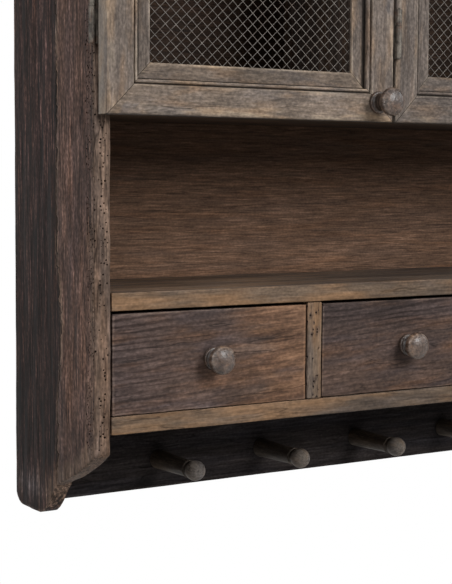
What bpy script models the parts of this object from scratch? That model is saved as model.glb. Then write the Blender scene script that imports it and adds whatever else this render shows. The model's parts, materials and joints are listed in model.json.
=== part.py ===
"""Rustic kitchen wall cabinet of old boards: three mitred doors with wire mesh, an open display shelf,
a row of four drawers and a peg rail between ogee-cut sides.

Metres, +Z up. The origin is on the wall, at the middle of the cabinet's back: +X runs to the right and
+Y into the wall, so the doors and the drawers face -Y.
"""

import math

import bmesh
import bpy
from mathutils import Vector

# Carcass, in metres
WIDTH = 1.000  # over the outer faces of the two sides
DEPTH = 0.177  # from the wall to the front edges
BOARD = 0.018  # sides, shelves, dividers and top
BACK_THICKNESS = 0.009
FIT = 0.0003  # gap left at glued and resting joints
ARRIS = 0.0015  # edges taken off planed boards

# Heights, stacked from the feet upwards
UNDER_DRAWERS = 0.094  # feet to the underside of the drawer floor
DRAWER_OPENING = 0.100
DISPLAY_OPENING = 0.166
CUPBOARD_OPENING = 0.368

# Top board
TOP_SIDE_OVERHANG = 0.010
TOP_OVER_DOORS = 0.009  # front edge beyond the doors' faces

# Ogee cut at the bottom of each side, measured back from the front edge and up from the foot;
# a run and a rise give the direction and the pull of the curve at a point
OGEE_HEIGHT = 0.0758
NOSE_RUN = 0.025
NOSE_RISE = -0.0175
SWELL_BACK = 0.066  # where the front swell runs out
SWELL_UP = 0.0412
SWELL_RUN = 0.013
SWELL_RISE = -0.0042
THROAT_BACK = 0.0935  # where the cut drops to the foot
THROAT_UP = 0.0215
THROAT_RUN = 0.005
THROAT_RISE = -0.0083
FOOT_FRONT = 0.120
TOE_RUN = 0.010
FOOT_HEEL = 0.016  # rounding at the wall
HEEL_PULL = 0.55  # share of the radius that makes a Bezier corner round
PLANK_JOINT = 0.080  # glued joint between the two planks of a side
JOINT_GROOVE = 0.0016

# Peg rail
RAIL_THICKNESS = 0.016
RAIL_LIFT = 0.0005  # rail's lower edge above the feet
PEG_COUNT = 6
PEG_SPACING = 0.135
PEG_HEIGHT = 0.0323
PEG_LENGTH = 0.088
PEG_BASE_RADIUS = 0.0105
PEG_WAIST_RADIUS = 0.0088
PEG_HEAD_RADIUS = 0.0107
PEG_HEAD_LENGTH = 0.022
PEG_SHANK = 0.009  # straight length at the rail
PEG_TENON_RADIUS = 0.006
PEG_BORE_WALL = 0.005  # wood left behind the tenon

# Doors
OUTER_DOOR_WIDTH = 0.334
DOOR_INSET = 0.002  # door edge inside the outer face of the side
DOOR_TOP_GAP = 0.002
DOOR_THICKNESS = 0.0172
FRAME_WIDTH = 0.033  # flat of the mitred frame
BEAD_WIDTH = 0.0045
BEAD_QUIRK = 0.0012
LIP_WIDTH = 0.016  # inner frame that holds the mesh
LIP_DROP = 0.007
LIP_THICKNESS = 0.004
MESH_COLUMNS = 6
MESH_ROWS = 7
WIRE = 0.002
MESH_THICKNESS = 0.0016

# Hinges
LEAF_THICKNESS = 0.0014
LEAF_MARGIN = 0.0035  # leaf edge to the far face of the board it lies on
LEAF_LENGTH = 0.050
BARREL_RADIUS = 0.003
BARREL_CLEARANCE = 0.0005  # barrel to the side's outer face, or to the door that opens past it
PIN_RADIUS = 0.0012
HINGE_FROM_END = 0.090
FLANGE_MARGIN = 0.001  # flange edge to the face of the partition

# Drawers
DRAWER_COUNT = 4
DRAWER_SIDE_GAP = 0.0012
DRAWER_TOP_GAP = 0.0022
DRAWER_SET_BACK = 0.001
DRAWER_FRONT_THICKNESS = 0.014
DRAWER_BOX_DROP = 0.0195  # box rim below the top of the front
DRAWER_BOX_WALL = 0.009
DRAWER_BOX_BOTTOM = 0.006
DRAWER_BACK_GAP = 0.006

# Knobs
KNOB_RADIUS = 0.0144
KNOB_LENGTH = 0.0250
KNOB_WIDEST = 0.0172  # height of the widest ring above the face
KNOB_NECK_RADIUS = 0.0088
KNOB_NECK = 0.0105
KNOB_FLANGE_RADIUS = 0.0115
KNOB_FLANGE = 0.0040
KNOB_FROM_EDGE = 0.020
KNOB_FROM_BOTTOM = 0.0197
DOOR_KNOB_STEM = 0.006  # longer neck of the doors' knobs

TURN_STEPS = 16
BARREL_SIDES = 16
OGEE_STEPS = 6

# Worked out from the sizes above
HEIGHT = UNDER_DRAWERS + DRAWER_OPENING + DISPLAY_OPENING + CUPBOARD_OPENING + 4 * BOARD
FOOT_Z = -HEIGHT / 2
DRAWER_FLOOR_Z = FOOT_Z + UNDER_DRAWERS
DISPLAY_SHELF_Z = DRAWER_FLOOR_Z + BOARD + DRAWER_OPENING
CUPBOARD_FLOOR_Z = DISPLAY_SHELF_Z + BOARD + DISPLAY_OPENING
TOP_Z = CUPBOARD_FLOOR_Z + BOARD + CUPBOARD_OPENING
FRONT_Y = -DEPTH
INNER_HALF = WIDTH / 2 - BOARD
SHELF_BACK_Y = -BACK_THICKNESS - FIT
DIVIDER_STEP = (WIDTH - BOARD) / DRAWER_COUNT
DRAWER_OPENING_WIDTH = DIVIDER_STEP - BOARD
PEG_TENON = RAIL_THICKNESS - PEG_BORE_WALL
LEAF_REACH = BARREL_RADIUS + BARREL_CLEARANCE + BOARD - LEAF_MARGIN
FLANGE_REACH = BOARD / 2 - FLANGE_MARGIN
DOOR_GAP = 2 * LEAF_THICKNESS + 3 * FIT  # both hinge leaves lie between door and carcass
DOOR_BACK_Y = FRONT_Y - DOOR_GAP
DOOR_FACE_Y = DOOR_BACK_Y - DOOR_THICKNESS
DOOR_BOTTOM_Z = CUPBOARD_FLOOR_Z
DOOR_TOP_Z = TOP_Z - DOOR_TOP_GAP
DOOR_HEIGHT = DOOR_TOP_Z - DOOR_BOTTOM_Z
DOOR_SPACING = 2 * LEAF_THICKNESS + 3 * FIT  # the middle door's leaves pass between the doors
OUTER_DOOR_EDGE = WIDTH / 2 - DOOR_INSET
MEETING_X = OUTER_DOOR_EDGE - OUTER_DOOR_WIDTH - DOOR_SPACING / 2
PARTITION_X = -MEETING_X
MIDDLE_BARREL_X = PARTITION_X - DOOR_SPACING / 2 + BARREL_CLEARANCE + BARREL_RADIUS


def clear_scene():
    for obj in list(bpy.data.objects):
        bpy.data.objects.remove(obj, do_unlink=True)


def new_collection(name):
    collection = bpy.data.collections.new(name)
    bpy.context.scene.collection.children.link(collection)
    return collection


def material(name, srgb, roughness, metallic=0.0):
    """A plain finish; the colour is given as it looks on a screen, 0 to 255."""
    made = bpy.data.materials.new(name)
    made.use_nodes = True
    shader = made.node_tree.nodes["Principled BSDF"]
    linear = [((v / 255 + 0.055) / 1.055) ** 2.4 for v in srgb]
    shader.inputs["Base Color"].default_value = (*linear, 1.0)
    shader.inputs["Roughness"].default_value = roughness
    shader.inputs["Metallic"].default_value = metallic
    return made


def add(name, mesh, finish, location, parent=None, rotation=(0.0, 0.0, 0.0)):
    """One named piece of the cabinet; location is in the cabinet's frame, also under a parent."""
    obj = bpy.data.objects.new(name, mesh)
    cabinet.objects.link(obj)
    obj.parent = parent
    obj.location = Vector(location) - (parent.location if parent else Vector())
    obj.rotation_euler = rotation
    if not mesh.materials:
        mesh.materials.append(finish)
    return obj


def axis_empty(name, location):
    empty = bpy.data.objects.new(name, None)
    empty.empty_display_size = 0.05
    cabinet.objects.link(empty)
    empty.location = location
    return empty


def box_mesh(name, low, high, centre=(0.0, 0.0, 0.0)):
    """A box between two corners, in a mesh whose origin is at centre."""
    low, high = Vector(low), Vector(high)
    mesh = bpy.data.meshes.new(name)
    bm = bmesh.new()
    bmesh.ops.create_cube(bm, size=1.0)
    bmesh.ops.scale(bm, vec=high - low, verts=bm.verts)
    bmesh.ops.translate(bm, vec=(low + high) / 2 - Vector(centre), verts=bm.verts)
    bm.to_mesh(mesh)
    bm.free()
    return mesh


def cylinder_mesh(name, radius, low_z, high_z):
    mesh = bpy.data.meshes.new(name)
    bm = bmesh.new()
    bmesh.ops.create_cone(
        bm, cap_ends=True, segments=BARREL_SIDES, radius1=radius, radius2=radius, depth=high_z - low_z
    )
    bmesh.ops.translate(bm, vec=(0, 0, (low_z + high_z) / 2), verts=bm.verts)
    bm.to_mesh(mesh)
    bm.free()
    return mesh


def helper(mesh, location=(0.0, 0.0, 0.0), rotation=(0.0, 0.0, 0.0)):
    """A shape that cuts or joins another, kept out of the finished cabinet."""
    obj = bpy.data.objects.new(mesh.name, mesh)
    cutters.objects.link(obj)
    obj.location = location
    obj.rotation_euler = rotation
    obj.hide_render = True
    obj.display_type = "WIRE"
    return obj


def boolean(target, tool, operation):
    modifier = target.modifiers.new(operation.lower(), "BOOLEAN")
    modifier.operation = operation
    modifier.solver = "EXACT"
    modifier.object = tool


def evaluated_mesh(obj, name):
    bpy.context.view_layer.update()
    graph = bpy.context.evaluated_depsgraph_get()
    mesh = bpy.data.meshes.new_from_object(obj.evaluated_get(graph))
    mesh.name = name
    return mesh


def joined_mesh(name, pieces, bore=None):
    """One mesh made of overlapping pieces, with an optional bore through the result."""
    first = helper(pieces[0])
    tools = [helper(piece) for piece in pieces[1:]]
    for tool in tools:
        boolean(first, tool, "UNION")
    if bore:
        tools.append(helper(bore))
        boolean(first, tools[-1], "DIFFERENCE")
    mesh = evaluated_mesh(first, name)
    for obj in [first, *tools]:
        bpy.data.objects.remove(obj, do_unlink=True)
    return mesh


def board(name, low, high, finish, parent=None):
    """A planed board between two corners, with its sharp edges taken off."""
    centre = (Vector(low) + Vector(high)) / 2
    obj = add(name, box_mesh(name, low, high, centre), finish, centre, parent)
    bevel = obj.modifiers.new("arris", "BEVEL")
    bevel.width = ARRIS
    bevel.segments = 1
    return obj


def turned(name, profile, finish, location, parent=None):
    """A lathe piece standing out towards -Y; the profile runs from its tip down its outer side."""
    mesh = bpy.data.meshes.new(name)
    points = [(radius, 0.0, height) for radius, height in profile]
    mesh.from_pydata(points, [(i, i + 1) for i in range(len(points) - 1)], [])
    obj = add(name, mesh, finish, location, parent, rotation=(math.pi / 2, 0.0, 0.0))
    screw = obj.modifiers.new("turning", "SCREW")
    screw.steps = TURN_STEPS
    screw.render_steps = TURN_STEPS
    screw.use_merge_vertices = True
    screw.merge_threshold = 0.00001
    screw.use_smooth_shade = True
    return obj


def arc(centre, radii, start, end, steps):
    """Points on an elliptical arc, angles in degrees, both ends included."""
    angles = [math.radians(start + (end - start) * i / steps) for i in range(steps + 1)]
    return [(centre[0] + radii[0] * math.cos(a), centre[1] + radii[1] * math.sin(a)) for a in angles]


def side_outline():
    """Corner and curve points of a side, back from the front edge and up from the foot, with handles."""
    height = TOP_Z - FIT - FOOT_Z
    nose = Vector((NOSE_RUN, NOSE_RISE))
    swell = Vector((SWELL_RUN, SWELL_RISE))
    throat = Vector((THROAT_RUN, THROAT_RISE))
    toe = Vector((TOE_RUN, 0.0))
    heel = FOOT_HEEL * HEEL_PULL
    corner = Vector((0.0, 0.0))
    return [
        (Vector((0.0, height)), corner, corner),
        (Vector((0.0, OGEE_HEIGHT)), corner, nose),
        (Vector((SWELL_BACK, SWELL_UP)), -swell, swell),
        (Vector((THROAT_BACK, THROAT_UP)), -throat, throat),
        (Vector((FOOT_FRONT, 0.0)), -toe, corner),
        (Vector((DEPTH - FOOT_HEEL, 0.0)), corner, Vector((heel, 0.0))),
        (Vector((DEPTH, FOOT_HEEL)), Vector((0.0, -heel)), corner),
        (Vector((DEPTH, height)), corner, corner),
    ]


def side(name, hand, finish):
    """A side of two glued planks, standing on edge; hand is -1 on the left and 1 on the right."""
    curve = bpy.data.curves.new(name, "CURVE")
    curve.dimensions = "2D"
    curve.fill_mode = "BOTH"
    curve.extrude = BOARD / 2
    curve.resolution_u = OGEE_STEPS
    outline = side_outline()
    spline = curve.splines.new("BEZIER")
    spline.bezier_points.add(len(outline) - 1)
    spline.use_cyclic_u = True
    for point, (place, before, after) in zip(spline.bezier_points, outline):
        point.handle_left_type = "FREE"
        point.handle_right_type = "FREE"
        point.co = (*place, 0.0)
        point.handle_left = (*(place + before), 0.0)
        point.handle_right = (*(place + after), 0.0)
    flat = bpy.data.objects.new(name + "_outline", curve)
    cutters.objects.link(flat)
    mesh = evaluated_mesh(flat, name)
    bpy.data.objects.remove(flat, do_unlink=True)
    bm = bmesh.new()
    bm.from_mesh(mesh)
    bmesh.ops.remove_doubles(bm, verts=bm.verts, dist=0.00001)
    bmesh.ops.dissolve_limit(bm, angle_limit=math.radians(0.5), verts=bm.verts, edges=bm.edges)
    bmesh.ops.recalc_face_normals(bm, faces=bm.faces)
    bm.to_mesh(mesh)
    bm.free()
    centre_x = hand * (WIDTH - BOARD) / 2
    standing = (math.pi / 2, 0.0, math.pi / 2)
    obj = add(name, mesh, finish, (centre_x, FRONT_Y, FOOT_Z), rotation=standing)
    half = JOINT_GROOVE / 2
    groove = helper(
        box_mesh(name + "_groove", (-half, -half, FOOT_Z - BOARD), (half, half, TOP_Z + BOARD)),
        location=(hand * WIDTH / 2, FRONT_Y + PLANK_JOINT, 0.0),
        rotation=(0.0, 0.0, math.pi / 4),
    )
    boolean(obj, groove, "DIFFERENCE")
    return obj


def peg_profile():
    """From the rounded tip to the waist behind the head, the base and the tenon in the rail."""
    head = arc((0.0, PEG_LENGTH - PEG_HEAD_RADIUS), (PEG_HEAD_RADIUS, PEG_HEAD_RADIUS), 90, 0, 4)
    head[0] = (0.0, PEG_LENGTH)
    return [
        *head,
        (PEG_WAIST_RADIUS, PEG_LENGTH - PEG_HEAD_LENGTH),
        (PEG_BASE_RADIUS, PEG_SHANK),
        (PEG_BASE_RADIUS, FIT),
        (PEG_TENON_RADIUS, FIT),
        (PEG_TENON_RADIUS, -PEG_TENON),
        (0.0, -PEG_TENON),
    ]


def knob_profile(stem=0.0):
    """From the domed tip over the widest ring to the neck, longer by the stem, and the flange on the wood."""
    widest = KNOB_WIDEST + stem
    dome = arc((0.0, widest), (KNOB_RADIUS, KNOB_LENGTH - KNOB_WIDEST), 90, 0, 4)
    dome[0] = (0.0, KNOB_LENGTH + stem)
    swell = (KNOB_RADIUS - KNOB_NECK_RADIUS, KNOB_WIDEST - KNOB_NECK)
    under = arc((KNOB_NECK_RADIUS, widest), swell, 0, -90, 3)
    cove = (KNOB_NECK_RADIUS, (KNOB_NECK + KNOB_FLANGE) / 2)
    flange = [(KNOB_FLANGE_RADIUS, KNOB_FLANGE), (KNOB_FLANGE_RADIUS, FIT), (0.0, FIT)]
    return [*dome, *under[1:], cove, *flange]


def frame_profile():
    """Section of a door frame member: depth behind the face, then distance in from the outer edge."""
    inner = FRAME_WIDTH + LIP_WIDTH
    bead_start = FRAME_WIDTH - BEAD_WIDTH
    radius = BEAD_WIDTH / 2
    bead = arc((BEAD_QUIRK + radius, bead_start + radius), (radius, radius), 210, 90, 3)
    return [
        (DOOR_THICKNESS, 0.0),
        (ARRIS, 0.0),
        (0.0, ARRIS),
        (0.0, bead_start),
        *bead[:-1],
        (LIP_DROP, FRAME_WIDTH),
        (LIP_DROP, inner),
        (LIP_DROP + LIP_THICKNESS, inner),
        (LIP_DROP + LIP_THICKNESS, FRAME_WIDTH),
        (DOOR_THICKNESS, FRAME_WIDTH),
    ]


def frame_member_mesh(name, length):
    """A moulded stick along +X, its face at y = 0 and its outer edge at z = 0, mitred at both ends."""
    mesh = bpy.data.meshes.new(name)
    bm = bmesh.new()
    section = bm.faces.new([bm.verts.new((0.0, y, z)) for y, z in frame_profile()])
    grown = bmesh.ops.extrude_face_region(bm, geom=[section])
    far_end = {v for v in grown["geom"] if isinstance(v, bmesh.types.BMVert)}
    saw = FIT / math.sqrt(2)
    for vert in bm.verts:
        vert.co.x = length - vert.co.z - saw if vert in far_end else vert.co.z + saw
    bmesh.ops.recalc_face_normals(bm, faces=bm.faces)
    bm.to_mesh(mesh)
    bm.free()
    return mesh


def mesh_panel(name, width, height, finish, location, parent):
    """Diamond wire mesh with a rim, lying in the rebate behind the frame's lip."""
    mesh = bpy.data.meshes.new(name)
    bm = bmesh.new()
    bmesh.ops.create_grid(bm, x_segments=MESH_COLUMNS, y_segments=MESH_ROWS, size=0.5)
    bmesh.ops.scale(bm, vec=(width, height, 1.0), verts=bm.verts)
    inner_edges = [edge for edge in bm.edges if not edge.is_boundary]
    bmesh.ops.poke(bm, faces=bm.faces)
    bmesh.ops.dissolve_edges(bm, edges=inner_edges, use_verts=False)
    rims = bmesh.ops.inset_individual(bm, faces=bm.faces, thickness=WIRE / 2)
    gaps = [face for face in bm.faces if face not in set(rims["faces"])]
    bmesh.ops.delete(bm, geom=gaps, context="FACES_ONLY")
    bm.to_mesh(mesh)
    bm.free()
    obj = add(name, mesh, finish, location, parent, rotation=(math.pi / 2, 0.0, 0.0))
    solid = obj.modifiers.new("wire", "SOLIDIFY")
    solid.thickness = MESH_THICKNESS
    solid.offset = 0.0
    return obj


def knuckle_spans():
    """Height ranges of the lower, middle and upper knuckle of a hinge, about its middle."""
    third = LEAF_LENGTH / 3
    inner = third / 2
    outer = inner + third
    return [(-outer, -inner - FIT / 2), (-inner + FIT / 2, inner - FIT / 2), (inner + FIT / 2, outer)]


def leaf_pieces(name, plate_low, plate_high, tab_low, tab_high, spans):
    """The plate of a hinge leaf, with the tabs and knuckles that tie it to the pin."""
    half = LEAF_LENGTH / 2
    pieces = [box_mesh(name + "_plate", (*plate_low, -half), (*plate_high, half))]
    for low_z, high_z in spans:
        pieces.append(box_mesh(name + "_tab", (*tab_low, low_z), (*tab_high, high_z)))
        pieces.append(cylinder_mesh(name + "_knuckle", BARREL_RADIUS, low_z, high_z))
    return pieces


def pin_mesh(name):
    return cylinder_mesh(name + "_pin", PIN_RADIUS, -LEAF_LENGTH / 2 - ARRIS, LEAF_LENGTH / 2 + ARRIS)


def bore_mesh(name):
    return cylinder_mesh(name + "_bore", PIN_RADIUS + FIT, -LEAF_LENGTH, LEAF_LENGTH)


def butt_hinge_meshes():
    """Both leaves of a butt hinge, flat between door and side, about the pin; +X runs over the side."""
    lower, middle, upper = knuckle_spans()
    near, far = FIT / 2, FIT / 2 + LEAF_THICKNESS
    start = BARREL_RADIUS + FIT
    tab = start + LEAF_THICKNESS
    side_plate = (start, near), (LEAF_REACH, far)
    door_plate = (start, -far), (LEAF_REACH, -near)
    fixed = leaf_pieces("side_leaf", *side_plate, (0.0, near), (tab, far), [lower, upper])
    fixed.append(pin_mesh("side_leaf"))
    swing = leaf_pieces("door_leaf", *door_plate, (0.0, -far), (tab, -near), [middle])
    return joined_mesh("side_leaf", fixed), joined_mesh("door_leaf", swing, bore_mesh("door_leaf"))


def cranked_hinge_meshes():
    """Both leaves of the middle door's hinge, which pass between two doors to the partition behind.

    The barrel lies in front of its own door only, so the gap is a little to the left of the pin.
    """
    lower, middle, upper = knuckle_spans()
    gap = PARTITION_X - MIDDLE_BARREL_X
    post_left, post_right = gap - FIT / 2 - LEAF_THICKNESS, gap - FIT / 2
    edge_left, edge_right = gap + FIT / 2, gap + FIT / 2 + LEAF_THICKNESS
    start = BARREL_RADIUS + FIT
    tab = start + LEAF_THICKNESS
    seat = start + DOOR_THICKNESS + DOOR_GAP - FIT
    edge = start + DOOR_THICKNESS - FIT
    half = LEAF_LENGTH / 2
    post_plate = (post_left, start), (post_right, seat)
    edge_plate = (edge_left, start), (edge_right, edge)
    fixed = leaf_pieces("post_leaf", *post_plate, (post_left, 0.0), (post_right, tab), [lower, upper])
    flange_low = (gap - FLANGE_REACH, seat - LEAF_THICKNESS, -half)
    fixed.append(box_mesh("post_flange", flange_low, (post_right, seat, half)))
    fixed.append(pin_mesh("post_leaf"))
    swing = leaf_pieces("edge_leaf", *edge_plate, (edge_left, 0.0), (edge_right, tab), [middle])
    return joined_mesh("post_leaf", fixed), joined_mesh("edge_leaf", swing, bore_mesh("edge_leaf"))


def door(number, left, right, hinge_at, axis, leaves, turn):
    """A mitred door with its mesh, knob and hinges; hinge_at is -1 on its left edge and 1 on its right."""
    name = f"door_{number}"
    pivot = axis_empty(name + "_axis", (*axis, (DOOR_BOTTOM_Z + DOOR_TOP_Z) / 2))
    width = right - left
    stile_left, stile_right = "hinge_stile", "knob_stile"
    if hinge_at > 0:
        stile_left, stile_right = stile_right, stile_left
    members = [
        ("bottom_rail", width, (left, DOOR_BOTTOM_Z), 0.0),
        (stile_right, DOOR_HEIGHT, (right, DOOR_BOTTOM_Z), -math.pi / 2),
        ("top_rail", width, (right, DOOR_TOP_Z), math.pi),
        (stile_left, DOOR_HEIGHT, (left, DOOR_TOP_Z), math.pi / 2),
    ]
    for member, length, (x, z), angle in members:
        mesh = frame_member_mesh(f"{name}_{member}", length)
        add(mesh.name, mesh, door_wood, (x, DOOR_FACE_Y, z), pivot, rotation=(0.0, angle, 0.0))
    middle = ((left + right) / 2, (DOOR_BOTTOM_Z + DOOR_TOP_Z) / 2)
    rebate = 2 * (FRAME_WIDTH + FIT)
    mesh_y = DOOR_FACE_Y + LIP_DROP + LIP_THICKNESS + FIT + MESH_THICKNESS / 2
    place = (middle[0], mesh_y, middle[1])
    mesh_panel(name + "_mesh", width - rebate, DOOR_HEIGHT - rebate, wire_steel, place, pivot)
    knob_x = right - KNOB_FROM_EDGE if hinge_at < 0 else left + KNOB_FROM_EDGE
    knob_place = (knob_x, DOOR_FACE_Y, DOOR_BOTTOM_Z + KNOB_FROM_BOTTOM)
    turned(name + "_knob", knob_profile(DOOR_KNOB_STEM), knob_wood, knob_place, pivot)
    fixed_leaf, door_leaf = leaves
    facing = (0.0, turn, 0.0)
    for end, z in (("lower", DOOR_BOTTOM_Z + HINGE_FROM_END), ("upper", DOOR_TOP_Z - HINGE_FROM_END)):
        hinge = f"hinge_{number}_{end}"
        add(hinge + "_fixed_leaf", fixed_leaf, hinge_steel, (*axis, z), rotation=facing)
        add(hinge + "_door_leaf", door_leaf, hinge_steel, (*axis, z), pivot, rotation=facing)


def drawer(number):
    """A drawer with an inset front, an open box behind it and a turned knob."""
    name = f"drawer_{number}"
    centre = (number - (DRAWER_COUNT + 1) / 2) * DIVIDER_STEP
    half = DRAWER_OPENING_WIDTH / 2 - DRAWER_SIDE_GAP
    floor = DRAWER_FLOOR_Z + BOARD + FIT
    face = FRONT_Y + DRAWER_SET_BACK
    back_of_front = face + DRAWER_FRONT_THICKNESS
    top = DISPLAY_SHELF_Z - DRAWER_TOP_GAP
    middle_z = (floor + top) / 2
    runner = axis_empty(name + "_slide", (centre, face, middle_z))
    front_low, front_high = (centre - half, face, floor), (centre + half, back_of_front, top)
    board(name + "_front", front_low, front_high, drawer_wood, runner)
    low = Vector((centre - half, back_of_front + FIT, floor))
    high = Vector((centre + half, SHELF_BACK_Y - DRAWER_BACK_GAP, top - DRAWER_BOX_DROP))
    middle = (low + high) / 2
    box = add(name + "_box", box_mesh(name + "_box", low, high, middle), box_wood, middle, runner)
    wall = Vector((DRAWER_BOX_WALL, DRAWER_BOX_WALL, 0.0))
    hollow_low = low + wall + Vector((0.0, 0.0, DRAWER_BOX_BOTTOM))
    hollow_high = high - wall + Vector((0.0, 0.0, DRAWER_BOX_BOTTOM))
    boolean(box, helper(box_mesh(name + "_hollow", hollow_low, hollow_high)), "DIFFERENCE")
    turned(name + "_knob", knob_profile(), knob_wood, (centre, face, middle_z), runner)


clear_scene()
cabinet = new_collection("kitchen_wall_cabinet")
cutters = new_collection("cutters")
side_wood = material("side_wood", (86, 72, 66), 0.75)
shelf_wood = material("shelf_wood", (118, 103, 90), 0.75)
back_wood = material("back_wood", (78, 58, 50), 0.8)
rail_wood = material("rail_wood", (34, 31, 30), 0.7)
door_wood = material("door_wood", (120, 110, 98), 0.75)
drawer_wood = material("drawer_wood", (105, 80, 70), 0.7)
box_wood = material("box_wood", (150, 120, 92), 0.8)
knob_wood = material("knob_wood", (100, 92, 84), 0.6)
hinge_steel = material("hinge_steel", (70, 66, 62), 0.5, 1.0)
wire_steel = material("wire_steel", (105, 98, 90), 0.5, 1.0)

# Carcass: sides, top, shelves, dividers, back
side("side_left", -1, side_wood)
side("side_right", 1, side_wood)
board(
    "top_board",
    (-WIDTH / 2 - TOP_SIDE_OVERHANG, DOOR_FACE_Y - TOP_OVER_DOORS, TOP_Z),
    (WIDTH / 2 + TOP_SIDE_OVERHANG, 0.0, TOP_Z + BOARD),
    shelf_wood,
)
for shelf_name, shelf_z in (
    ("cupboard_floor", CUPBOARD_FLOOR_Z),
    ("display_shelf", DISPLAY_SHELF_Z),
    ("drawer_floor", DRAWER_FLOOR_Z),
):
    shelf_half = INNER_HALF - FIT
    shelf_high = (shelf_half, SHELF_BACK_Y, shelf_z + BOARD)
    board(shelf_name, (-shelf_half, FRONT_Y, shelf_z), shelf_high, shelf_wood)
for n in range(1, DRAWER_COUNT):
    x = n * DIVIDER_STEP - (WIDTH - BOARD) / 2
    board(
        f"drawer_divider_{n}",
        (x - BOARD / 2, FRONT_Y, DRAWER_FLOOR_Z + BOARD + FIT),
        (x + BOARD / 2, SHELF_BACK_Y, DISPLAY_SHELF_Z - FIT),
        shelf_wood,
    )
board(
    "cupboard_partition",
    (PARTITION_X - BOARD / 2, FRONT_Y, CUPBOARD_FLOOR_Z + BOARD + FIT),
    (PARTITION_X + BOARD / 2, SHELF_BACK_Y, TOP_Z - FIT),
    shelf_wood,
)
back_half = INNER_HALF - FIT
back_low = (-back_half, -BACK_THICKNESS, DRAWER_FLOOR_Z)
board("back_panel", back_low, (back_half, 0.0, TOP_Z - FIT), back_wood)

# Peg rail, bored for the pegs
rail_low = (-back_half, -RAIL_THICKNESS, FOOT_Z + RAIL_LIFT)
rail = board("peg_rail", rail_low, (back_half, 0.0, DRAWER_FLOOR_Z - FIT), rail_wood)
for n in range(1, PEG_COUNT + 1):
    peg_x = (n - (PEG_COUNT + 1) / 2) * PEG_SPACING
    peg_place = (peg_x, -RAIL_THICKNESS, FOOT_Z + PEG_HEIGHT)
    bore = cylinder_mesh(f"peg_{n}_bore", PEG_TENON_RADIUS + FIT, -PEG_TENON - FIT, PEG_TENON)
    boolean(rail, helper(bore, peg_place, (math.pi / 2, 0.0, 0.0)), "DIFFERENCE")
    turned(f"peg_{n}", peg_profile(), knob_wood, peg_place)

# Doors: the outer two hang on the sides, the middle one on the partition
butt_hinge = butt_hinge_meshes()
cranked_hinge = cranked_hinge_meshes()
barrel_x = WIDTH / 2 + BARREL_CLEARANCE + BARREL_RADIUS
barrel_y = FRONT_Y - DOOR_GAP / 2
middle_barrel_y = DOOR_FACE_Y - FIT - BARREL_RADIUS
post = DOOR_SPACING / 2
middle_barrel = (MIDDLE_BARREL_X, middle_barrel_y)
door(1, -OUTER_DOOR_EDGE, PARTITION_X - post, -1, (-barrel_x, barrel_y), butt_hinge, 0.0)
door(2, PARTITION_X + post, MEETING_X - post, -1, middle_barrel, cranked_hinge, 0.0)
door(3, MEETING_X + post, OUTER_DOOR_EDGE, 1, (barrel_x, barrel_y), butt_hinge, math.pi)

for n in range(1, DRAWER_COUNT + 1):
    drawer(n)
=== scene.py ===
"""Looks of a rustic kitchen wall cabinet of old boards: three doors with wire mesh, an open display shelf,
four drawers and a rail of turned pegs between ogee-cut sides. Metres, +Z up, the wall at y = 0, front to -Y.
"""

import json
import math

import bmesh
import bpy
import numpy as np
from mathutils import Matrix, Vector, noise

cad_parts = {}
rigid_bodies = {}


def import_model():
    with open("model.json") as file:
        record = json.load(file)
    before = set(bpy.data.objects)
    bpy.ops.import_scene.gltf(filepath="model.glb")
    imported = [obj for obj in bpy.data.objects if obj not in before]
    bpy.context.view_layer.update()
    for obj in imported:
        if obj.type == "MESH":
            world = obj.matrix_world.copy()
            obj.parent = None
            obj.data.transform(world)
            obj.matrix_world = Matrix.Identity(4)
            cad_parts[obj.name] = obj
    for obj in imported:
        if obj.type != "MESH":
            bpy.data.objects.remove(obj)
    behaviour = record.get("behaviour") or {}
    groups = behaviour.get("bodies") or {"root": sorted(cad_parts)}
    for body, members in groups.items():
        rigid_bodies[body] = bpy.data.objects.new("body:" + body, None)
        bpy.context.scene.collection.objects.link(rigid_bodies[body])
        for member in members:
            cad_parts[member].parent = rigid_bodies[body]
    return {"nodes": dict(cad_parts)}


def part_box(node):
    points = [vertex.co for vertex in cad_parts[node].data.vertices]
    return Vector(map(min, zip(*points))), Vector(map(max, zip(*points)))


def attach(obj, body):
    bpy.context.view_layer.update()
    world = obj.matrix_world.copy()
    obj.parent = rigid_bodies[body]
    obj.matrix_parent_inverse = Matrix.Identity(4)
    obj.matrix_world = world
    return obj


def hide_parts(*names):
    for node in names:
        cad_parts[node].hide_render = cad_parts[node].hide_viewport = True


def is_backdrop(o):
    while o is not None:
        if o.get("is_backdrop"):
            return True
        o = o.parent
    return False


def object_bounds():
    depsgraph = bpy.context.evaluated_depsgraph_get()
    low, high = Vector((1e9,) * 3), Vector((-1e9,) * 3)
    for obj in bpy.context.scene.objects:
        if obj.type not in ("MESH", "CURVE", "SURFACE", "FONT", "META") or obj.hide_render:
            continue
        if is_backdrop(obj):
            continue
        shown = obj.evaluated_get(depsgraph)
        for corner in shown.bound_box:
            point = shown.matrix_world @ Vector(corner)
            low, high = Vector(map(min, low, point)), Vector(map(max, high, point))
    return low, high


for leftover in list(bpy.data.objects):
    bpy.data.objects.remove(leftover)
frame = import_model()
cad_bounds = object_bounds()

# Sides
# Each side is two old planks glued edge to edge and sawn to an ogee at the foot. The front plank is a little
# thicker, its edge worn bare and eaten by worms; the rear plank is darker, with dirt and painted shade along
# the joint and a rubbed foot.


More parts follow.
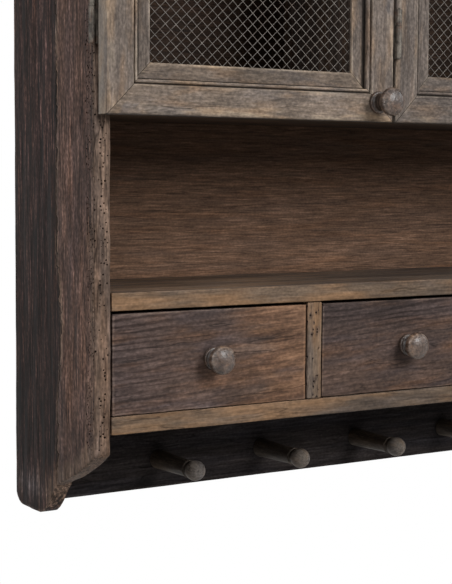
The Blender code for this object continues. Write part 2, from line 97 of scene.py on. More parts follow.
class Value:
    """A node's output to reckon with: + - * / add Math nodes, or Vector Math nodes for vectors."""

    def __init__(self, socket):
        self.socket = socket

    def __add__(self, other):
        return calc("ADD", self, other)

    def __sub__(self, other):
        return calc("SUBTRACT", self, other)

    def __mul__(self, other):
        return calc("MULTIPLY", self, other)

    def __truediv__(self, other):
        return calc("DIVIDE", self, other)

    def beside(self, name):
        """Another output of the same node."""
        return Value(self.socket.node.outputs[name])

    def into(self, socket):
        """Joins this output to a node's input."""
        self.socket.id_data.links.new(self.socket, socket)


def add(kind, inputs=None, out=0, tree=None, **settings):
    """Adds a node, sets or joins its inputs, and returns one of its outputs.

    The node goes into the tree of its first joined input; only a node without one has to be told the tree.
    """
    inputs = inputs or {}
    if tree is None:
        tree = next(value.socket.id_data for value in inputs.values() if isinstance(value, Value))
    made = tree.nodes.new(kind)
    for key, value in settings.items():
        setattr(made, key, value)
    for key, value in inputs.items():
        if isinstance(value, Value):
            value.into(made.inputs[key])
        else:
            made.inputs[key].default_value = value
    return Value(made.outputs[out])


def is_vector(value):
    """Whether a value is a vector or a colour rather than one number."""
    return value.socket.type in ("VECTOR", "RGBA") if isinstance(value, Value) else isinstance(value, tuple)


def calc(operation, *values):
    """A Math node, or a Vector Math node if any of the values is a vector."""
    kind = "ShaderNodeVectorMath" if any(map(is_vector, values)) else "ShaderNodeMath"
    return add(kind, dict(enumerate(values)), "Value" if operation == "LENGTH" else 0, operation=operation)


def combined(x=0.0, y=0.0, z=0.0):
    """A vector of three numbers."""
    return add("ShaderNodeCombineXYZ", {0: x, 1: y, 2: z})


def parts(place):
    """The three numbers of a vector."""
    first = add("ShaderNodeSeparateXYZ", {0: place})
    return [first.beside(axis) for axis in "XYZ"]


def ranged(value, start, end, low=0.0, high=1.0):
    """The value's way from start to end, as a number from low to high that goes no further."""
    return add("ShaderNodeMapRange", {0: value, 1: start, 2: end, 3: low, 4: high})


def rough(place, repeats, detail=2.0, roughness=0.5):
    """Noise with about so many repeats a metre along each axis."""
    settings = {"Vector": place * repeats, "Scale": 1.0, "Detail": detail, "Roughness": roughness}
    return add("ShaderNodeTexNoise", settings)


def new_tree(name, kinds):
    """A Geometry Nodes tree with one shape as its output, and its named inputs."""
    tree = bpy.data.node_groups.new(name, "GeometryNodeTree")
    for label, kind in kinds.items():
        tree.interface.new_socket(label, in_out="INPUT", socket_type="NodeSocket" + kind)
    tree.interface.new_socket("Shape", in_out="OUTPUT", socket_type="NodeSocketGeometry")
    outputs = tree.nodes.new("NodeGroupInput").outputs
    return tree, {label: Value(outputs[label]) for label in kinds}


SHARP_ANGLE = math.radians(60)


def close_tree(tree, shape, material):
    """Ends a tree: real geometry, smooth shading and the material."""
    real = add("GeometryNodeRealizeInstances", {0: shape})
    smooth = add("GeometryNodeSetShadeSmooth", {0: real, "Shade Smooth": True})
    steep = calc("GREATER_THAN", add("GeometryNodeInputMeshEdgeAngle", tree=tree), SHARP_ANGLE)
    sharp = {0: smooth, "Selection": steep, "Shade Smooth": False}
    edged = add("GeometryNodeSetShadeSmooth", sharp, domain="EDGE")
    painted = add("GeometryNodeSetMaterial", {"Geometry": edged, "Material": material})
    painted.into(tree.nodes.new("NodeGroupOutput").inputs[0])


def marked(shape, name, value, data_type="FLOAT"):
    """Stores a value on the points under a name that the materials read."""
    settings = {"Geometry": shape, "Name": name, "Value": value}
    return add("GeometryNodeStoreNamedAttribute", settings, data_type=data_type)


def new_object(name, data):
    """An object in the scene with this mesh, light or camera."""
    made = bpy.data.objects.new(name, data)
    bpy.context.scene.collection.objects.link(made)
    return made


def grown(tree, name, sizes, start=None):
    """Runs a tree with these sizes, on a mesh if one is given, and returns the result as a plain mesh."""
    holder = new_object(name, start or bpy.data.meshes.new(name))
    modifier = holder.modifiers.new(name, "NODES")
    modifier.node_group = tree
    for item in tree.interface.items_tree:
        if item.in_out == "INPUT" and item.name in sizes:
            modifier[item.identifier] = sizes[item.name]
    evaluated = holder.evaluated_get(bpy.context.evaluated_depsgraph_get())
    mesh = bpy.data.meshes.new_from_object(evaluated)
    holder.modifiers.remove(modifier)
    bpy.data.objects.remove(holder)
    mesh.name = name
    return mesh


BOARD_INPUTS = {
    "Length": "Float", "Width": "Float", "Thickness": "Float",
    "Along": "Int", "Across": "Int", "Through": "Int",
    "Wear": "Float", "Relief": "Float", "Bare Edge": "Float", "Silver": "Float", "Amber": "Float",
    "Seed": "Int", "Wood": "Material",
}
CROWDING = (1.0, 1.4, 1.4)  # how far the rows of points gather towards the arrises, in radians
SEED_STEP = (1.713, 3.137, 5.371)  # metres of grain between one board and the next
ARRIS_REACH = 3.0  # worn colour beyond an arris, in wear radii
BARE_FADE = (0.0005, 0.002)  # distances from the front edge between which its bare wood fades out
SILVER_FULL = 0.75  # where grey is full, as a share of half the width, and amber, of half the length
AMBER_FULL = 0.7

board_tree, given = new_tree("old_board", BOARD_INPUTS)
half = combined(given["Length"], given["Width"], given["Thickness"]) * (0.5, 0.5, 0.5)
counts = {"Vertices X": given["Along"], "Vertices Y": given["Across"], "Vertices Z": given["Through"]}
block = add("GeometryNodeMeshCube", {"Size": (2.0, 2.0, 2.0), **counts})
even = add("GeometryNodeInputPosition", tree=board_tree)
square = calc("SINE", even * CROWDING) / tuple(map(math.sin, CROWDING)) * half
shift = given["Seed"] * SEED_STEP
seeded = square + shift
radius = given["Wear"] * ranged(rough(seeded, (16, 40, 40), 3.0), 0.3, 0.7, 0.35, 1.35)
core = half - radius
inside = calc("MINIMUM", calc("MAXIMUM", square, core * (-1.0, -1.0, -1.0)), core)
outward = calc("NORMALIZE", square - inside)
hollow = rough(seeded, (7, 95, 95), 4.0, 0.6) * given["Relief"]
worn_place = inside + outward * (radius - hollow)
to_face = half - calc("ABSOLUTE", square)
to_arris = [calc("LENGTH", to_face * mask) for mask in ((0, 1, 1), (1, 0, 1), (1, 1, 0))]
nearest = calc("MINIMUM", to_arris[0], calc("MINIMUM", to_arris[1], to_arris[2]))
at_arris = ranged(nearest, 0.0, given["Wear"] * ARRIS_REACH, 1.0, 0.0)
square_x, square_y = parts(square)[:2]
half_x, half_y = parts(half)[:2]
bare_front = ranged(square_y + half_y, *BARE_FADE, 1.0, 0.0) * given["Bare Edge"]
shape = marked(block, "worn", calc("MAXIMUM", at_arris, bare_front))
shape = marked(shape, "silver", ranged(square_y / half_y, 0.0, SILVER_FULL) * given["Silver"])
shape = marked(shape, "amber", ranged(square_x / half_x, 0.0, AMBER_FULL) * given["Amber"])
shape = add("GeometryNodeSetPosition", {"Geometry": shape, "Position": worn_place})
grain = add("GeometryNodeInputPosition", tree=board_tree) + shift
close_tree(board_tree, marked(shape, "grain", grain, "FLOAT_VECTOR"), given["Wood"])

ROW_ALONG = 0.006  # distance between rows of points along the grain
PLANK_ROW = 0.003  # and along the planks of the sides, whose joint is ragged
ROW_ACROSS = 0.0042
LEAST_ROWS_ACROSS = 12
ROWS_THROUGH = 9


def old_board(name, low, high, along, across, wood, seed, wear=0.0016, relief=0.0007, bare=0.0, silver=0.0,
              amber=0.0, worms=None, row=ROW_ALONG):
    """A worn board that fills a box. Its grain runs along one axis; its front edge faces away from across."""
    along, across = Vector(along), Vector(across)
    turn = Matrix((along, across, along.cross(across))).transposed()
    length, width, thickness = (abs(v) for v in turn.transposed() @ (high - low))
    mesh = grown(board_tree, name, {
        "Length": length, "Width": width, "Thickness": thickness,
        "Along": round(length / row) + 2,
        "Across": max(LEAST_ROWS_ACROSS, round(width / ROW_ACROSS)),
        "Through": ROWS_THROUGH,
        "Wear": wear, "Relief": relief, "Bare Edge": bare, "Silver": silver, "Amber": amber,
        "Seed": seed, "Wood": wood,
    })
    if worms:
        shift_now = [seed * step for step in SEED_STEP]
        edges = {"Front": -width / 2, "Outer": thickness / 2, "Shift": shift_now, "Seed": seed, "Wood": wood}
        mesh = grown(worm_tree, name, {**worms, **edges}, mesh)
    mesh.transform(Matrix.Translation((low + high) / 2) @ turn.to_4x4())
    return mesh


def piece(name, mesh, body, nodes):
    """Adds a finished mesh as a piece that rides on a body and stands for the CAD nodes it replaces."""
    made = new_object(name, mesh)
    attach(made, body)
    if nodes:
        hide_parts(*nodes)


def tint(red, green, blue):
    """A colour given as it looks on a screen, 0 to 255, as the linear colour that a shader takes."""
    return (*(((c / 255 + 0.055) / 1.055) ** 2.4 for c in (red, green, blue)), 1.0)


def blend(share, first, second, way="MIX"):
    """A colour between two others."""
    return add("ShaderNodeMix", {0: share, 6: first, 7: second}, 2, data_type="RGBA", blend_type=way)


def new_material(name):
    """A material, and the node that its colour and finish go into."""
    material = bpy.data.materials.new(name)
    material.use_nodes = True
    return material, material.node_tree.nodes["Principled BSDF"]


COOL_STAIN = (0.74, 0.83, 1.0, 1.0)  # what a stain leaves of the wood's red, green and blue
WARM_STAIN = (1.44, 1.15, 0.84, 1.0)
LATE_WOOD = (0.4, 0.37, 0.36, 1.0)  # and what late wood, a pore, a crack, and dirt with painted shade leave
PORE = (0.3, 0.28, 0.28, 1.0)
CRACK = (0.2, 0.19, 0.19, 1.0)
DIRT_AND_SHADE = (0.06, 0.055, 0.05, 1.0)
BARE_TONE = 1.25  # tone of bare wood, where a full one is 2


def old_wood(name, colour, bare, fibre=380.0, run=1.0, lean=0.0, contrast=2.2, weights=(0.9, 1.1, 1.6, 0.8),
             cooled=0.6, warmed=0.5, cracked=0.5, pored=0.3, bands=0.0, gloss=0.15, polish=(0.62, 0.88)):
    """Weathered wood: fibres, pores, cracks, cool and warm stains, bare worn edges, dirt and painted shade.

    fibre counts the fibres a metre across the grain and run how often they break along it; lean turns the
    grain on the face. weights are the shares of patches, streaks, fibres and speckle in the tone.
    """
    material, surface = new_material(name)
    tree = material.node_tree
    place = add("ShaderNodeAttribute", None, "Vector", tree, attribute_name="grain")
    worn, grime_and_shade, silver, amber = (
        add("ShaderNodeAttribute", None, "Fac", tree, attribute_name=mark)
        for mark in ("worn", "grime_and_shade", "silver", "amber")
    )
    place = add("ShaderNodeVectorRotate", {"Vector": place, "Angle": lean}, rotation_type="Z_AXIS")
    patches = rough(place, (5 * run, 24, 24), 4.0)
    streaks = rough(place, (6 * run, fibre * 0.3, fibre * 0.3), 4.0, 0.65)
    fibres = rough(place, (22 * run, fibre, fibre), 2.0, 0.6)
    speckle = rough(place, (fibre * 0.7, fibre * 1.1, fibre * 1.1), 1.0)
    tone = -0.5 * sum(weights)
    for source, weight in zip((patches, streaks, fibres, speckle), weights):
        tone = calc("MULTIPLY_ADD", source, weight, tone)
    bared = ranged(calc("MULTIPLY_ADD", streaks, 1.8, worn - 0.9), 0.3, 0.8)
    strength = ranged(bared, 0.0, 1.0, 2.0, BARE_TONE)
    shade = calc("POWER", contrast, tone * strength)
    hue = blend(bared, tint(*colour), tint(*bare))
    apart = place + (11.0, 7.0, 3.0)
    cool = rough(apart, (5 * run, fibre * 0.12, fibre * 0.12), 4.0, 0.6)
    cool = ranged(calc("MULTIPLY_ADD", amber, -0.12, cool), 0.44, 0.64, 0.0, cooled)
    hue = blend(calc("MAXIMUM", cool, silver), hue, COOL_STAIN, "MULTIPLY")
    further = place + (23.0, 17.0, 13.0)
    warm = rough(further, (7 * run, fibre * 0.2, fibre * 0.2), 3.0)
    warm = ranged(calc("MULTIPLY_ADD", amber, 0.2, warm), 0.5, 0.7, 0.0, warmed)
    hue = blend(warm, hue, WARM_STAIN, "MULTIPLY")
    if bands:
        wavy = place + rough(place, (9, 40, 40), 3.0) * (0.0, 0.016, 0.0)
        wave = {"Vector": wavy, "Scale": bands, "Distortion": 0.0}
        ring = add("ShaderNodeTexWave", wave, "Fac", bands_direction="Y")
        fading = ranged(rough(further, (8, 18, 18), 2.0), 0.4, 0.6, 0.05, 0.4)
        fading = calc("MULTIPLY_ADD", silver, 0.5, fading)
        hue = blend(ranged(ring, 0.45, 0.1) * fading, hue, LATE_WOOD, "MULTIPLY")
    hue = hue * shade
    pore = rough(further, (fibre * 0.1, fibre * 1.2, fibre * 1.2), 1.0)
    hue = blend(ranged(pore, 0.57, 0.68, 0.0, pored), hue, PORE, "MULTIPLY")
    vein = rough(further, (7, fibre * 0.16, fibre * 0.16), 3.0)
    vein = calc("ABSOLUTE", vein - 0.5)
    where = ranged(rough(apart, (12, fibre * 0.2, fibre * 0.2), 2.0), 0.48, 0.6, 0.0, cracked)
    crack = ranged(vein, 0.004, 0.016, 1.0, 0.0) * where
    hue = blend(crack, hue, CRACK, "MULTIPLY")
    # the grime mark darkens the wood towards one dark colour, for real dirt and for painted shade
    hue = blend(ranged(grime_and_shade, 0.1, 0.95), hue, DIRT_AND_SHADE, "MULTIPLY")
    hue.into(surface.inputs["Base Color"])
    ranged(streaks, 0.3, 0.7, *polish).into(surface.inputs["Roughness"])
    surface.inputs["Specular IOR Level"].default_value = gloss
    height = streaks * 0.9 + fibres * 0.6 - crack * 0.8
    bump = add("ShaderNodeBump", {"Strength": 0.5, "Distance": 0.0012, "Height": height})
    bump.into(surface.inputs["Normal"])
    return material


front_plank_wood = old_wood(
    "front_plank_wood", (87, 68, 60), (111, 92, 79), fibre=340.0, run=1.5, contrast=2.6,
    weights=(0.8, 1.0, 2.2, 1.3), cooled=0.6, warmed=0.35, cracked=0.8, pored=0.7,
)
rear_plank_wood = old_wood(
    "rear_plank_wood", (46, 34, 31), (104, 90, 82), fibre=360.0, run=0.9, contrast=3.7,
    weights=(1.0, 1.1, 3.2, 1.2), cooled=0.3, warmed=0.5, cracked=0.7, pored=0.6,
)

WORM_INPUTS = {
    "Plank": "Geometry", "Strip": "Float", "Spacing": "Float", "Density": "Float",
    "Least Radius": "Float", "Largest Radius": "Float", "Hole Depth": "Float",
    "Front": "Float", "Outer": "Float", "Shift": "Vector", "Seed": "Int", "Wood": "Material",
}
EDGE_CLEAR = 0.0046  # holes in the front edge keep off the outer face, so that no two meet inside the plank
FRONT_SHARE = 0.7  # holes in the front edge, as a share of those beside it on the outer face
FACES_OUT = 0.86  # least part of a normal that points out of the outer face, and out of the front edge
FACES_FRONT = 0.9
BORE_SIDES = 7

worm_tree, given = new_tree("worm_holes", WORM_INPUTS)
place = add("GeometryNodeInputPosition", tree=worm_tree)
facing_y, facing_z = parts(add("GeometryNodeInputNormal", tree=worm_tree))[1:]
spot_y, spot_z = parts(place)[1:]
in_strip = calc("LESS_THAN", spot_y, given["Front"] + given["Strip"])
on_outer = calc("GREATER_THAN", facing_z, FACES_OUT) * in_strip
off_arris = calc("LESS_THAN", calc("ABSOLUTE", spot_z), given["Outer"] - EDGE_CLEAR)
on_front = calc("LESS_THAN", facing_y, -FACES_FRONT) * off_arris
runs = ranged(rough(place, (14, 90, 90), 2.0), 0.31, 0.47)
crowd = calc("MULTIPLY_ADD", on_front, FRONT_SHARE, on_outer)
scattering = {
    "Mesh": given["Plank"], "Selection": calc("GREATER_THAN", on_outer + on_front, 0.5),
    "Distance Min": given["Spacing"], "Density Max": given["Density"], "Density Factor": runs * crowd,
    "Seed": given["Seed"],
}
points = add("GeometryNodeDistributePointsOnFaces", scattering, distribute_method="POISSON")
bore = {"Vertices": BORE_SIDES, "Radius": 1.0, "Depth": given["Hole Depth"]}
radii = {2: given["Least Radius"], 3: given["Largest Radius"], "Seed": given["Seed"]}
bore_radius = add("FunctionNodeRandomValue", radii, 1, data_type="FLOAT")
bores = add("GeometryNodeInstanceOnPoints", {
    "Points": points, "Instance": add("GeometryNodeMeshCylinder", bore),
    "Rotation": points.beside("Rotation"), "Scale": combined(bore_radius, bore_radius, 1.0),
})
# the bores' walls are darkened: dirt and painted shade in the holes
bores = marked(add("GeometryNodeRealizeInstances", {0: bores}), "grime_and_shade", 1.0)
cutting = {"operation": "DIFFERENCE", "solver": "MANIFOLD"}
holed = add("GeometryNodeMeshBoolean", {"Mesh 1": given["Plank"], "Mesh 2": bores}, **cutting)
holed = marked(holed, "grain", place + given["Shift"], "FLOAT_VECTOR")
close_tree(worm_tree, holed, given["Wood"])


def store(mesh, name, values):
    """Stores numbers, or places, on a mesh's points under a name that the materials read."""
    values = np.asarray(values, np.float32)
    kind, field = ("FLOAT", "value") if values.ndim == 1 else ("FLOAT_VECTOR", "vector")
    attribute = mesh.attributes.get(name) or mesh.attributes.new(name, kind, "POINT")
    attribute.data.foreach_set(field, values.ravel())


def stored(mesh, name):
    """Numbers, or places, stored on a mesh's points."""
    attribute = mesh.attributes[name]
    field, columns = ("value", 1) if attribute.data_type == "FLOAT" else ("vector", 3)
    values = np.empty(len(mesh.vertices) * columns, np.float32)
    attribute.data.foreach_get(field, values)
    return values if columns == 1 else values.reshape(-1, 3)


def raise_mark(mesh, name, *levels):
    """Raises the numbers stored on a mesh's points to the highest of these levels."""
    store(mesh, name, np.maximum.reduce([stored(mesh, name), *levels]))


def points_of(mesh):
    """Places of a mesh's points."""
    places = np.empty(len(mesh.vertices) * 3)
    mesh.vertices.foreach_get("co", places)
    return places.reshape(-1, 3)


PLANK_JOINT = 0.085  # from the front edge to the glued joint
JOINT_STEP = 0.0007  # rear plank's outer face behind the front plank's
JOINT_GAP = 0.0001
BOW_DEPTH = 0.0095  # of the joint's one broad bow towards the front, with its height and half its reach
BOW_AT = -0.24
BOW_REACH = 0.055
RAGGED_DEPTH = 0.008
GLUE_DEPTH = 0.0025  # hollows up to this deep are filled where the planks are glued
GLUE_HALF = 0.005  # half the glued faces' width
JOINT_DIRT_AND_SHADE = 0.85  # dirt and painted shade on the rear plank along the joint
JOINT_DARK_SPREAD = 0.004  # how far it spreads from the joint, give or take as much
DAMP = 0.6  # dark of the rear plank's lower half
DAMP_START = 0.08  # height where it begins, and the way down to its darkest
DAMP_RUN = 0.3
CUT_ZONE = 0.016  # height above the front plank's cut that is rubbed pale, with its fade and its full wear
CUT_FADE = 1.6
CUT_WEAR = 1.3
ARRIS_WEAR = 0.85
ARRIS_ZONE = 0.022  # distance from the front edge that is rubbed
FOOT_WEAR = 0.5
FOOT_RUB = 0.024  # from the foot's end up to where it is rubbed palest
FOOT_ZONE = 0.034  # reach of the rub above and below
FOOT_GREY = 1.0
TOE_DEPTH = 0.020  # reach of the bare, amber wood at the foot's front
TOE_HEIGHT = 0.045
TOE_FADE = 1.5  # the toe is bare over half of its reach, and fades out at one and a half times it
TOE_AMBER = 2.5
OGEE_ZONE = 0.090  # height above the foot that holds the whole ogee
SAME_DEPTH = 0.00002  # corners of the ogee no further apart than this lie at one depth
WORMS = {
    "Strip": 0.018, "Spacing": 0.0028, "Density": 100000.0,
    "Least Radius": 0.0005, "Largest Radius": 0.0013, "Hole Depth": 0.006,
}


def joint_lean(height):
    """How far the joint of the planks runs in front of its straight line: one broad bow and a ragged edge."""
    bow = BOW_DEPTH * np.exp(-(((height - BOW_AT) / BOW_REACH) ** 2))
    ragged = [0.5 + 0.5 * noise.fractal((0.0, 0.0, z * 60), 0.35, 2.1, 5) for z in height]
    return bow + RAGGED_DEPTH * np.array(ragged)


def cut_to_side(mesh, node, joint_at, up):
    """Moves a plank's joint edge to the ragged joint and its lower end to the ogee of the CAD side.

    The grain stays straight; up is 1 where it counts upwards and -1 where it counts down. Returns the points'
    places, their heights above the cut and their distances from the joint.
    """
    outline = points_of(frame["nodes"][node].data)
    foot, top = outline[:, 2].min(), outline[:, 2].max()
    cut = outline[outline[:, 2] < foot + OGEE_ZONE]
    depths = np.unique(cut[:, 1].round(5))
    heights = [cut[np.abs(cut[:, 1] - depth) < SAME_DEPTH, 2].min() for depth in depths]
    places = points_of(mesh)
    uncut = places.copy()
    far_edge = places[:, 1].min() if joint_at > places[:, 1].mean() else places[:, 1].max()
    share = (places[:, 1] - far_edge) / (joint_at - far_edge)
    off_middle = np.abs(places[:, 0] - (places[:, 0].min() + places[:, 0].max()) / 2)
    share[(share > 1 - GLUE_DEPTH / abs(joint_at - far_edge)) & (off_middle < GLUE_HALF)] = 1.0
    places[:, 1] = far_edge + share * (joint_at - far_edge - joint_lean(places[:, 2]))
    bottom = np.interp(places[:, 1], depths, heights)
    places[:, 2] = bottom + (places[:, 2] - foot) * (top - bottom) / (top - foot)
    mesh.vertices.foreach_set("co", places.ravel())
    mesh.update()
    moved = (places - uncut)[:, [2, 1, 0]] * (up, 1.0, 0.0)
    store(mesh, "grain", stored(mesh, "grain") + moved)
    return places, places[:, 2] - bottom, np.abs(1 - share) * abs(joint_at - far_edge)


for node, hand in (("side_left", -1), ("side_right", 1)):
    low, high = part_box(node)
    joint = low.y + PLANK_JOINT
    upwards = (0, 0, -hand)  # turns the plank's outer face away from the cabinet
    front_high = Vector((high.x, joint - JOINT_GAP / 2, high.z))
    front = old_board(
        node + "_front_plank", low, front_high, upwards, (0, 1, 0), front_plank_wood, 5 + hand,
        wear=0.0032, relief=0.0011, bare=1.15, worms=WORMS, row=PLANK_ROW,
    )
    places, above_cut, _ = cut_to_side(front, node, joint - JOINT_GAP / 2, -hand)
    cut_worn = np.clip(CUT_FADE - above_cut / CUT_ZONE, 0, CUT_WEAR)
    arris_worn = ARRIS_WEAR * np.clip(1 - (places[:, 1] - low.y) / ARRIS_ZONE, 0, 1)
    raise_mark(front, "worn", cut_worn, arris_worn)
    piece(node + "_front_plank", front, "carcass", [node])
    rear_low, rear_high = Vector((low.x, joint + JOINT_GAP / 2, low.z)), high.copy()
    if hand < 0:
        rear_low.x += JOINT_STEP
    else:
        rear_high.x -= JOINT_STEP
    rear = old_board(
        node + "_rear_plank", rear_low, rear_high, upwards, (0, 1, 0), rear_plank_wood, 12 + hand,
        wear=0.0014, relief=0.0006, row=PLANK_ROW,
    )
    places, _, from_joint = cut_to_side(rear, node, joint + JOINT_GAP / 2, -hand)
    above_foot = places[:, 2] - low.z
    near_toe = np.clip(TOE_FADE - from_joint / TOE_DEPTH, 0, 1)
    toe = near_toe * np.clip(TOE_FADE - above_foot / TOE_HEIGHT, 0, 1)
    spread = [JOINT_DARK_SPREAD + JOINT_DARK_SPREAD * noise.noise(Vector((0.0, 0.0, z * 45))) for z in above_foot]
    rubbed = np.clip(1 - np.abs(above_foot - FOOT_RUB) / FOOT_ZONE, 0, 1)
    damp = DAMP * np.clip((DAMP_START - places[:, 2]) / DAMP_RUN, 0, 1) * (1 - rubbed)
    # dirt and painted shade darken the rear plank along the joint
    dirt_and_shade = np.maximum(damp, JOINT_DIRT_AND_SHADE * np.exp(-from_joint / np.array(spread)))
    store(rear, "grime_and_shade", dirt_and_shade * (1 - toe))
    raise_mark(rear, "worn", FOOT_WEAR * rubbed, toe)
    store(rear, "silver", FOOT_GREY * rubbed * (1 - toe))
    store(rear, "amber", TOE_AMBER * toe)
    piece(node + "_rear_plank", rear, "carcass", [node])

# Shelves and dividers
# Three shelf boards housed between the sides, with short dividers between the drawers and a partition that
# carries the middle door. Their front edges are scraped bare, and thin grey paint is left on the shelves'
# tops and on the uprights.

shelf_wood = old_wood(
    "shelf_wood", (90, 75, 64), (117, 99, 83), run=1.6, contrast=1.9, weights=(1.0, 1.0, 1.4, 1.0),
    cooled=0.8, warmed=0.7,
)
# painted shade on the shelves near the back panel
BACK_PAINTED_SHADE = 0.45
BACK_ZONE = 0.12  # distance from the back panel over which painted shade lies
# painted shade on the shelves' undersides
UNDER_PAINTED_SHADE = 0.6
FACE_DEPTH = 0.001  # worn faces sink less than this
SHELF_FALLOFF_SHADE = 0.36  # painted shade on the shelves away from the left end, for the light falling off
FALLOFF_START = 0.16  # from the left end to where the painted shade begins
FALLOFF_RUN = 0.16
TOP_GREY = 0.6  # grey and wear of the upper faces
TOP_WORN = 0.5
TOP_STREAKS = 0.7  # how much the wear of the upper faces changes from streak to streak
for seed, node in enumerate(("drawer_floor", "display_shelf", "cupboard_floor"), 24):
    low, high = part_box(node)
    mesh = old_board(
        node + "_board", low, high, (-1, 0, 0), (0, 1, 0), shelf_wood, seed, wear=0.0015, bare=0.8, amber=0.7,
    )
    places = points_of(mesh)
    dirt_and_shade = BACK_PAINTED_SHADE * np.clip(1 - (high.y - places[:, 1]) / BACK_ZONE, 0, 1)
    dull = SHELF_FALLOFF_SHADE * np.clip((places[:, 0] - low.x - FALLOFF_START) / FALLOFF_RUN, 0, 1)
    under = UNDER_PAINTED_SHADE * (places[:, 2] < low.z + FACE_DEPTH)
    store(mesh, "grime_and_shade", np.maximum.reduce([dirt_and_shade, dull, under]))
    on_top = places[:, 2] > high.z - FACE_DEPTH
    store(mesh, "silver", TOP_GREY * on_top)
    streaks = np.array([noise.noise(Vector((x * 6, y * 90, z))) for x, y, z in places])
    raise_mark(mesh, "worn", (TOP_WORN + TOP_STREAKS * streaks) * on_top)
    piece(node + "_board", mesh, "carcass", [node])
EDGE_GREY = 0.7  # grey paint on the left half of an upright
UPRIGHT_HOLES = 50000.0
uprights = [f"drawer_divider_{n}" for n in (1, 2, 3)] + ["cupboard_partition"]
for seed, node in enumerate(uprights, 35):
    low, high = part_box(node)
    mesh = old_board(
        node + "_board", low, high, (0, 0, 1), (0, 1, 0), shelf_wood, seed, wear=0.0014, bare=0.8, amber=0.6,
        worms={**WORMS, "Density": UPRIGHT_HOLES},
    )
    store(mesh, "silver", EDGE_GREY * (points_of(mesh)[:, 0] < (low.x + high.x) / 2))
    piece(node + "_board", mesh, "carcass", [node])

# Top board
# One plain board that lies on the sides and overhangs the doors, of the same old wood as the sides' front
# planks.

mesh = old_board(
    "top_plank", *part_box("top_board"), (1, 0, 0), (0, 1, 0), front_plank_wood, 41, wear=0.0026, bare=0.6,
)
piece("top_plank", mesh, "carcass", ["top_board"])

# Back panel
# A thin panel of reddish brown wood let in between the sides, its grain running across the cabinet. Inside
# the cupboard it is darkened almost black with painted shade.

back_wood = old_wood(
    "back_wood", (103, 79, 63), (113, 90, 73), fibre=540.0, run=1.5, contrast=1.9,
    weights=(0.8, 0.6, 1.9, 0.7), cooled=0.3, warmed=0.25, cracked=0.3, pored=0.4,
)
# painted shade: the back panel inside the cupboard is darkened almost black
INSIDE_PAINTED_SHADE = 0.8
low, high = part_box("back_panel")
mesh = old_board("back_sheet", low, high, (1, 0, 0), (0, 0, 1), back_wood, 51, wear=0.001, relief=0.0004)
places = points_of(mesh)
in_cupboard = (places[:, 2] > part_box("cupboard_floor")[1].z) & (places[:, 1] < (low.y + high.y) / 2)
store(mesh, "grime_and_shade", INSIDE_PAINTED_SHADE * in_cupboard)
piece("back_sheet", mesh, "carcass", ["back_panel"])

# Peg rail and pegs
# A blackened board under the drawers carries six turned pegs with round heads. Each peg is glued into a bored
# hole, and its head is rubbed paler than its shank.

rail_wood = old_wood("rail_wood", (55, 50, 49), (72, 66, 63), contrast=2.0, warmed=0.1, gloss=0.03)
mesh = old_board(
    "peg_rail_board", *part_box("peg_rail"), (1, 0, 0), (0, 0, 1), rail_wood, 61, wear=0.0014, relief=0.001,
)
piece("peg_rail_board", mesh, "carcass", ["peg_rail"])


def arc(centre, radii, start, end, steps):
    """Points of an ellipse's arc about a centre, from one angle to another in degrees."""
    angles = (math.radians(start + (end - start) * n / steps) for n in range(steps + 1))
    return [(centre[0] + radii[0] * math.cos(a), centre[1] + radii[1] * math.sin(a)) for a in angles]


def shaped(name, bm, wood, marks, sharp=SHARP_ANGLE):
    """A mesh of this wood from finished faces, smooth up to a sharp angle, with these marks on its points."""
    bmesh.ops.recalc_face_normals(bm, faces=bm.faces)
    mesh = bpy.data.meshes.new(name)
    bm.to_mesh(mesh)
    bm.free()
    for mark, values in marks.items():
        store(mesh, mark, values)
    mesh.shade_smooth()
    mesh.set_sharp_from_angle(angle=sharp)
    mesh.materials.append(wood)
    return mesh


TURN_STEPS = 56
HAND_TURNED = 0.00018  # how far a turned surface wanders from true


def turned(name, profile, wear, centre, wood, seed):
    """Spins a profile of (radius, height) from its tip about an axis that points out of the front (-Y).

    wear gives the worn share and the share of dirt and painted shade of each profile point.
    """
    bm = bmesh.new()
    rings = []
    marks = {"grain": [], "worn": [], "grime_and_shade": []}
    drift = Vector(SEED_STEP) * seed
    for (radius, height), (bare, dirt_and_shade) in zip(profile, wear):
        ring = []
        for step in range(TURN_STEPS if radius > 0 else 1):
            angle = 2 * math.pi * step / TURN_STEPS
            direction = Vector((math.cos(angle), 0.0, math.sin(angle)))
            wobble = HAND_TURNED * noise.noise(direction * 2.5 + Vector((seed, height * 300, 0.0)))
            place = direction * (radius - abs(wobble)) + Vector((0.0, -height, 0.0))
            ring.append(bm.verts.new(place + centre))
            marks["grain"].append(Vector((height, place.x, place.z)) + drift)
            marks["worn"].append(bare)
            marks["grime_and_shade"].append(dirt_and_shade)
        rings.append(ring)
    for upper, lower in zip(rings, rings[1:]):
        for step in range(TURN_STEPS):
            after = (step + 1) % TURN_STEPS
            corners = [ring[at % len(ring)] for ring, at in (
                (upper, step), (upper, after), (lower, after), (lower, step),
            )]
            bm.faces.new(list(dict.fromkeys(corners)))
    return shaped(name, bm, wood, marks)


def add_turned(node, body, face, profile_of, wood, seed):
    """Adds the turned piece that stands for a CAD node and is seated on a face."""
    low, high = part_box(node)
    centre = Vector(((low.x + high.x) / 2, face, (low.z + high.z) / 2))
    profile, wear = profile_of(face - low.y)
    mesh = turned(node + "_turned", profile, wear, centre, wood, seed)
    piece(node + "_turned", mesh, body, [node])


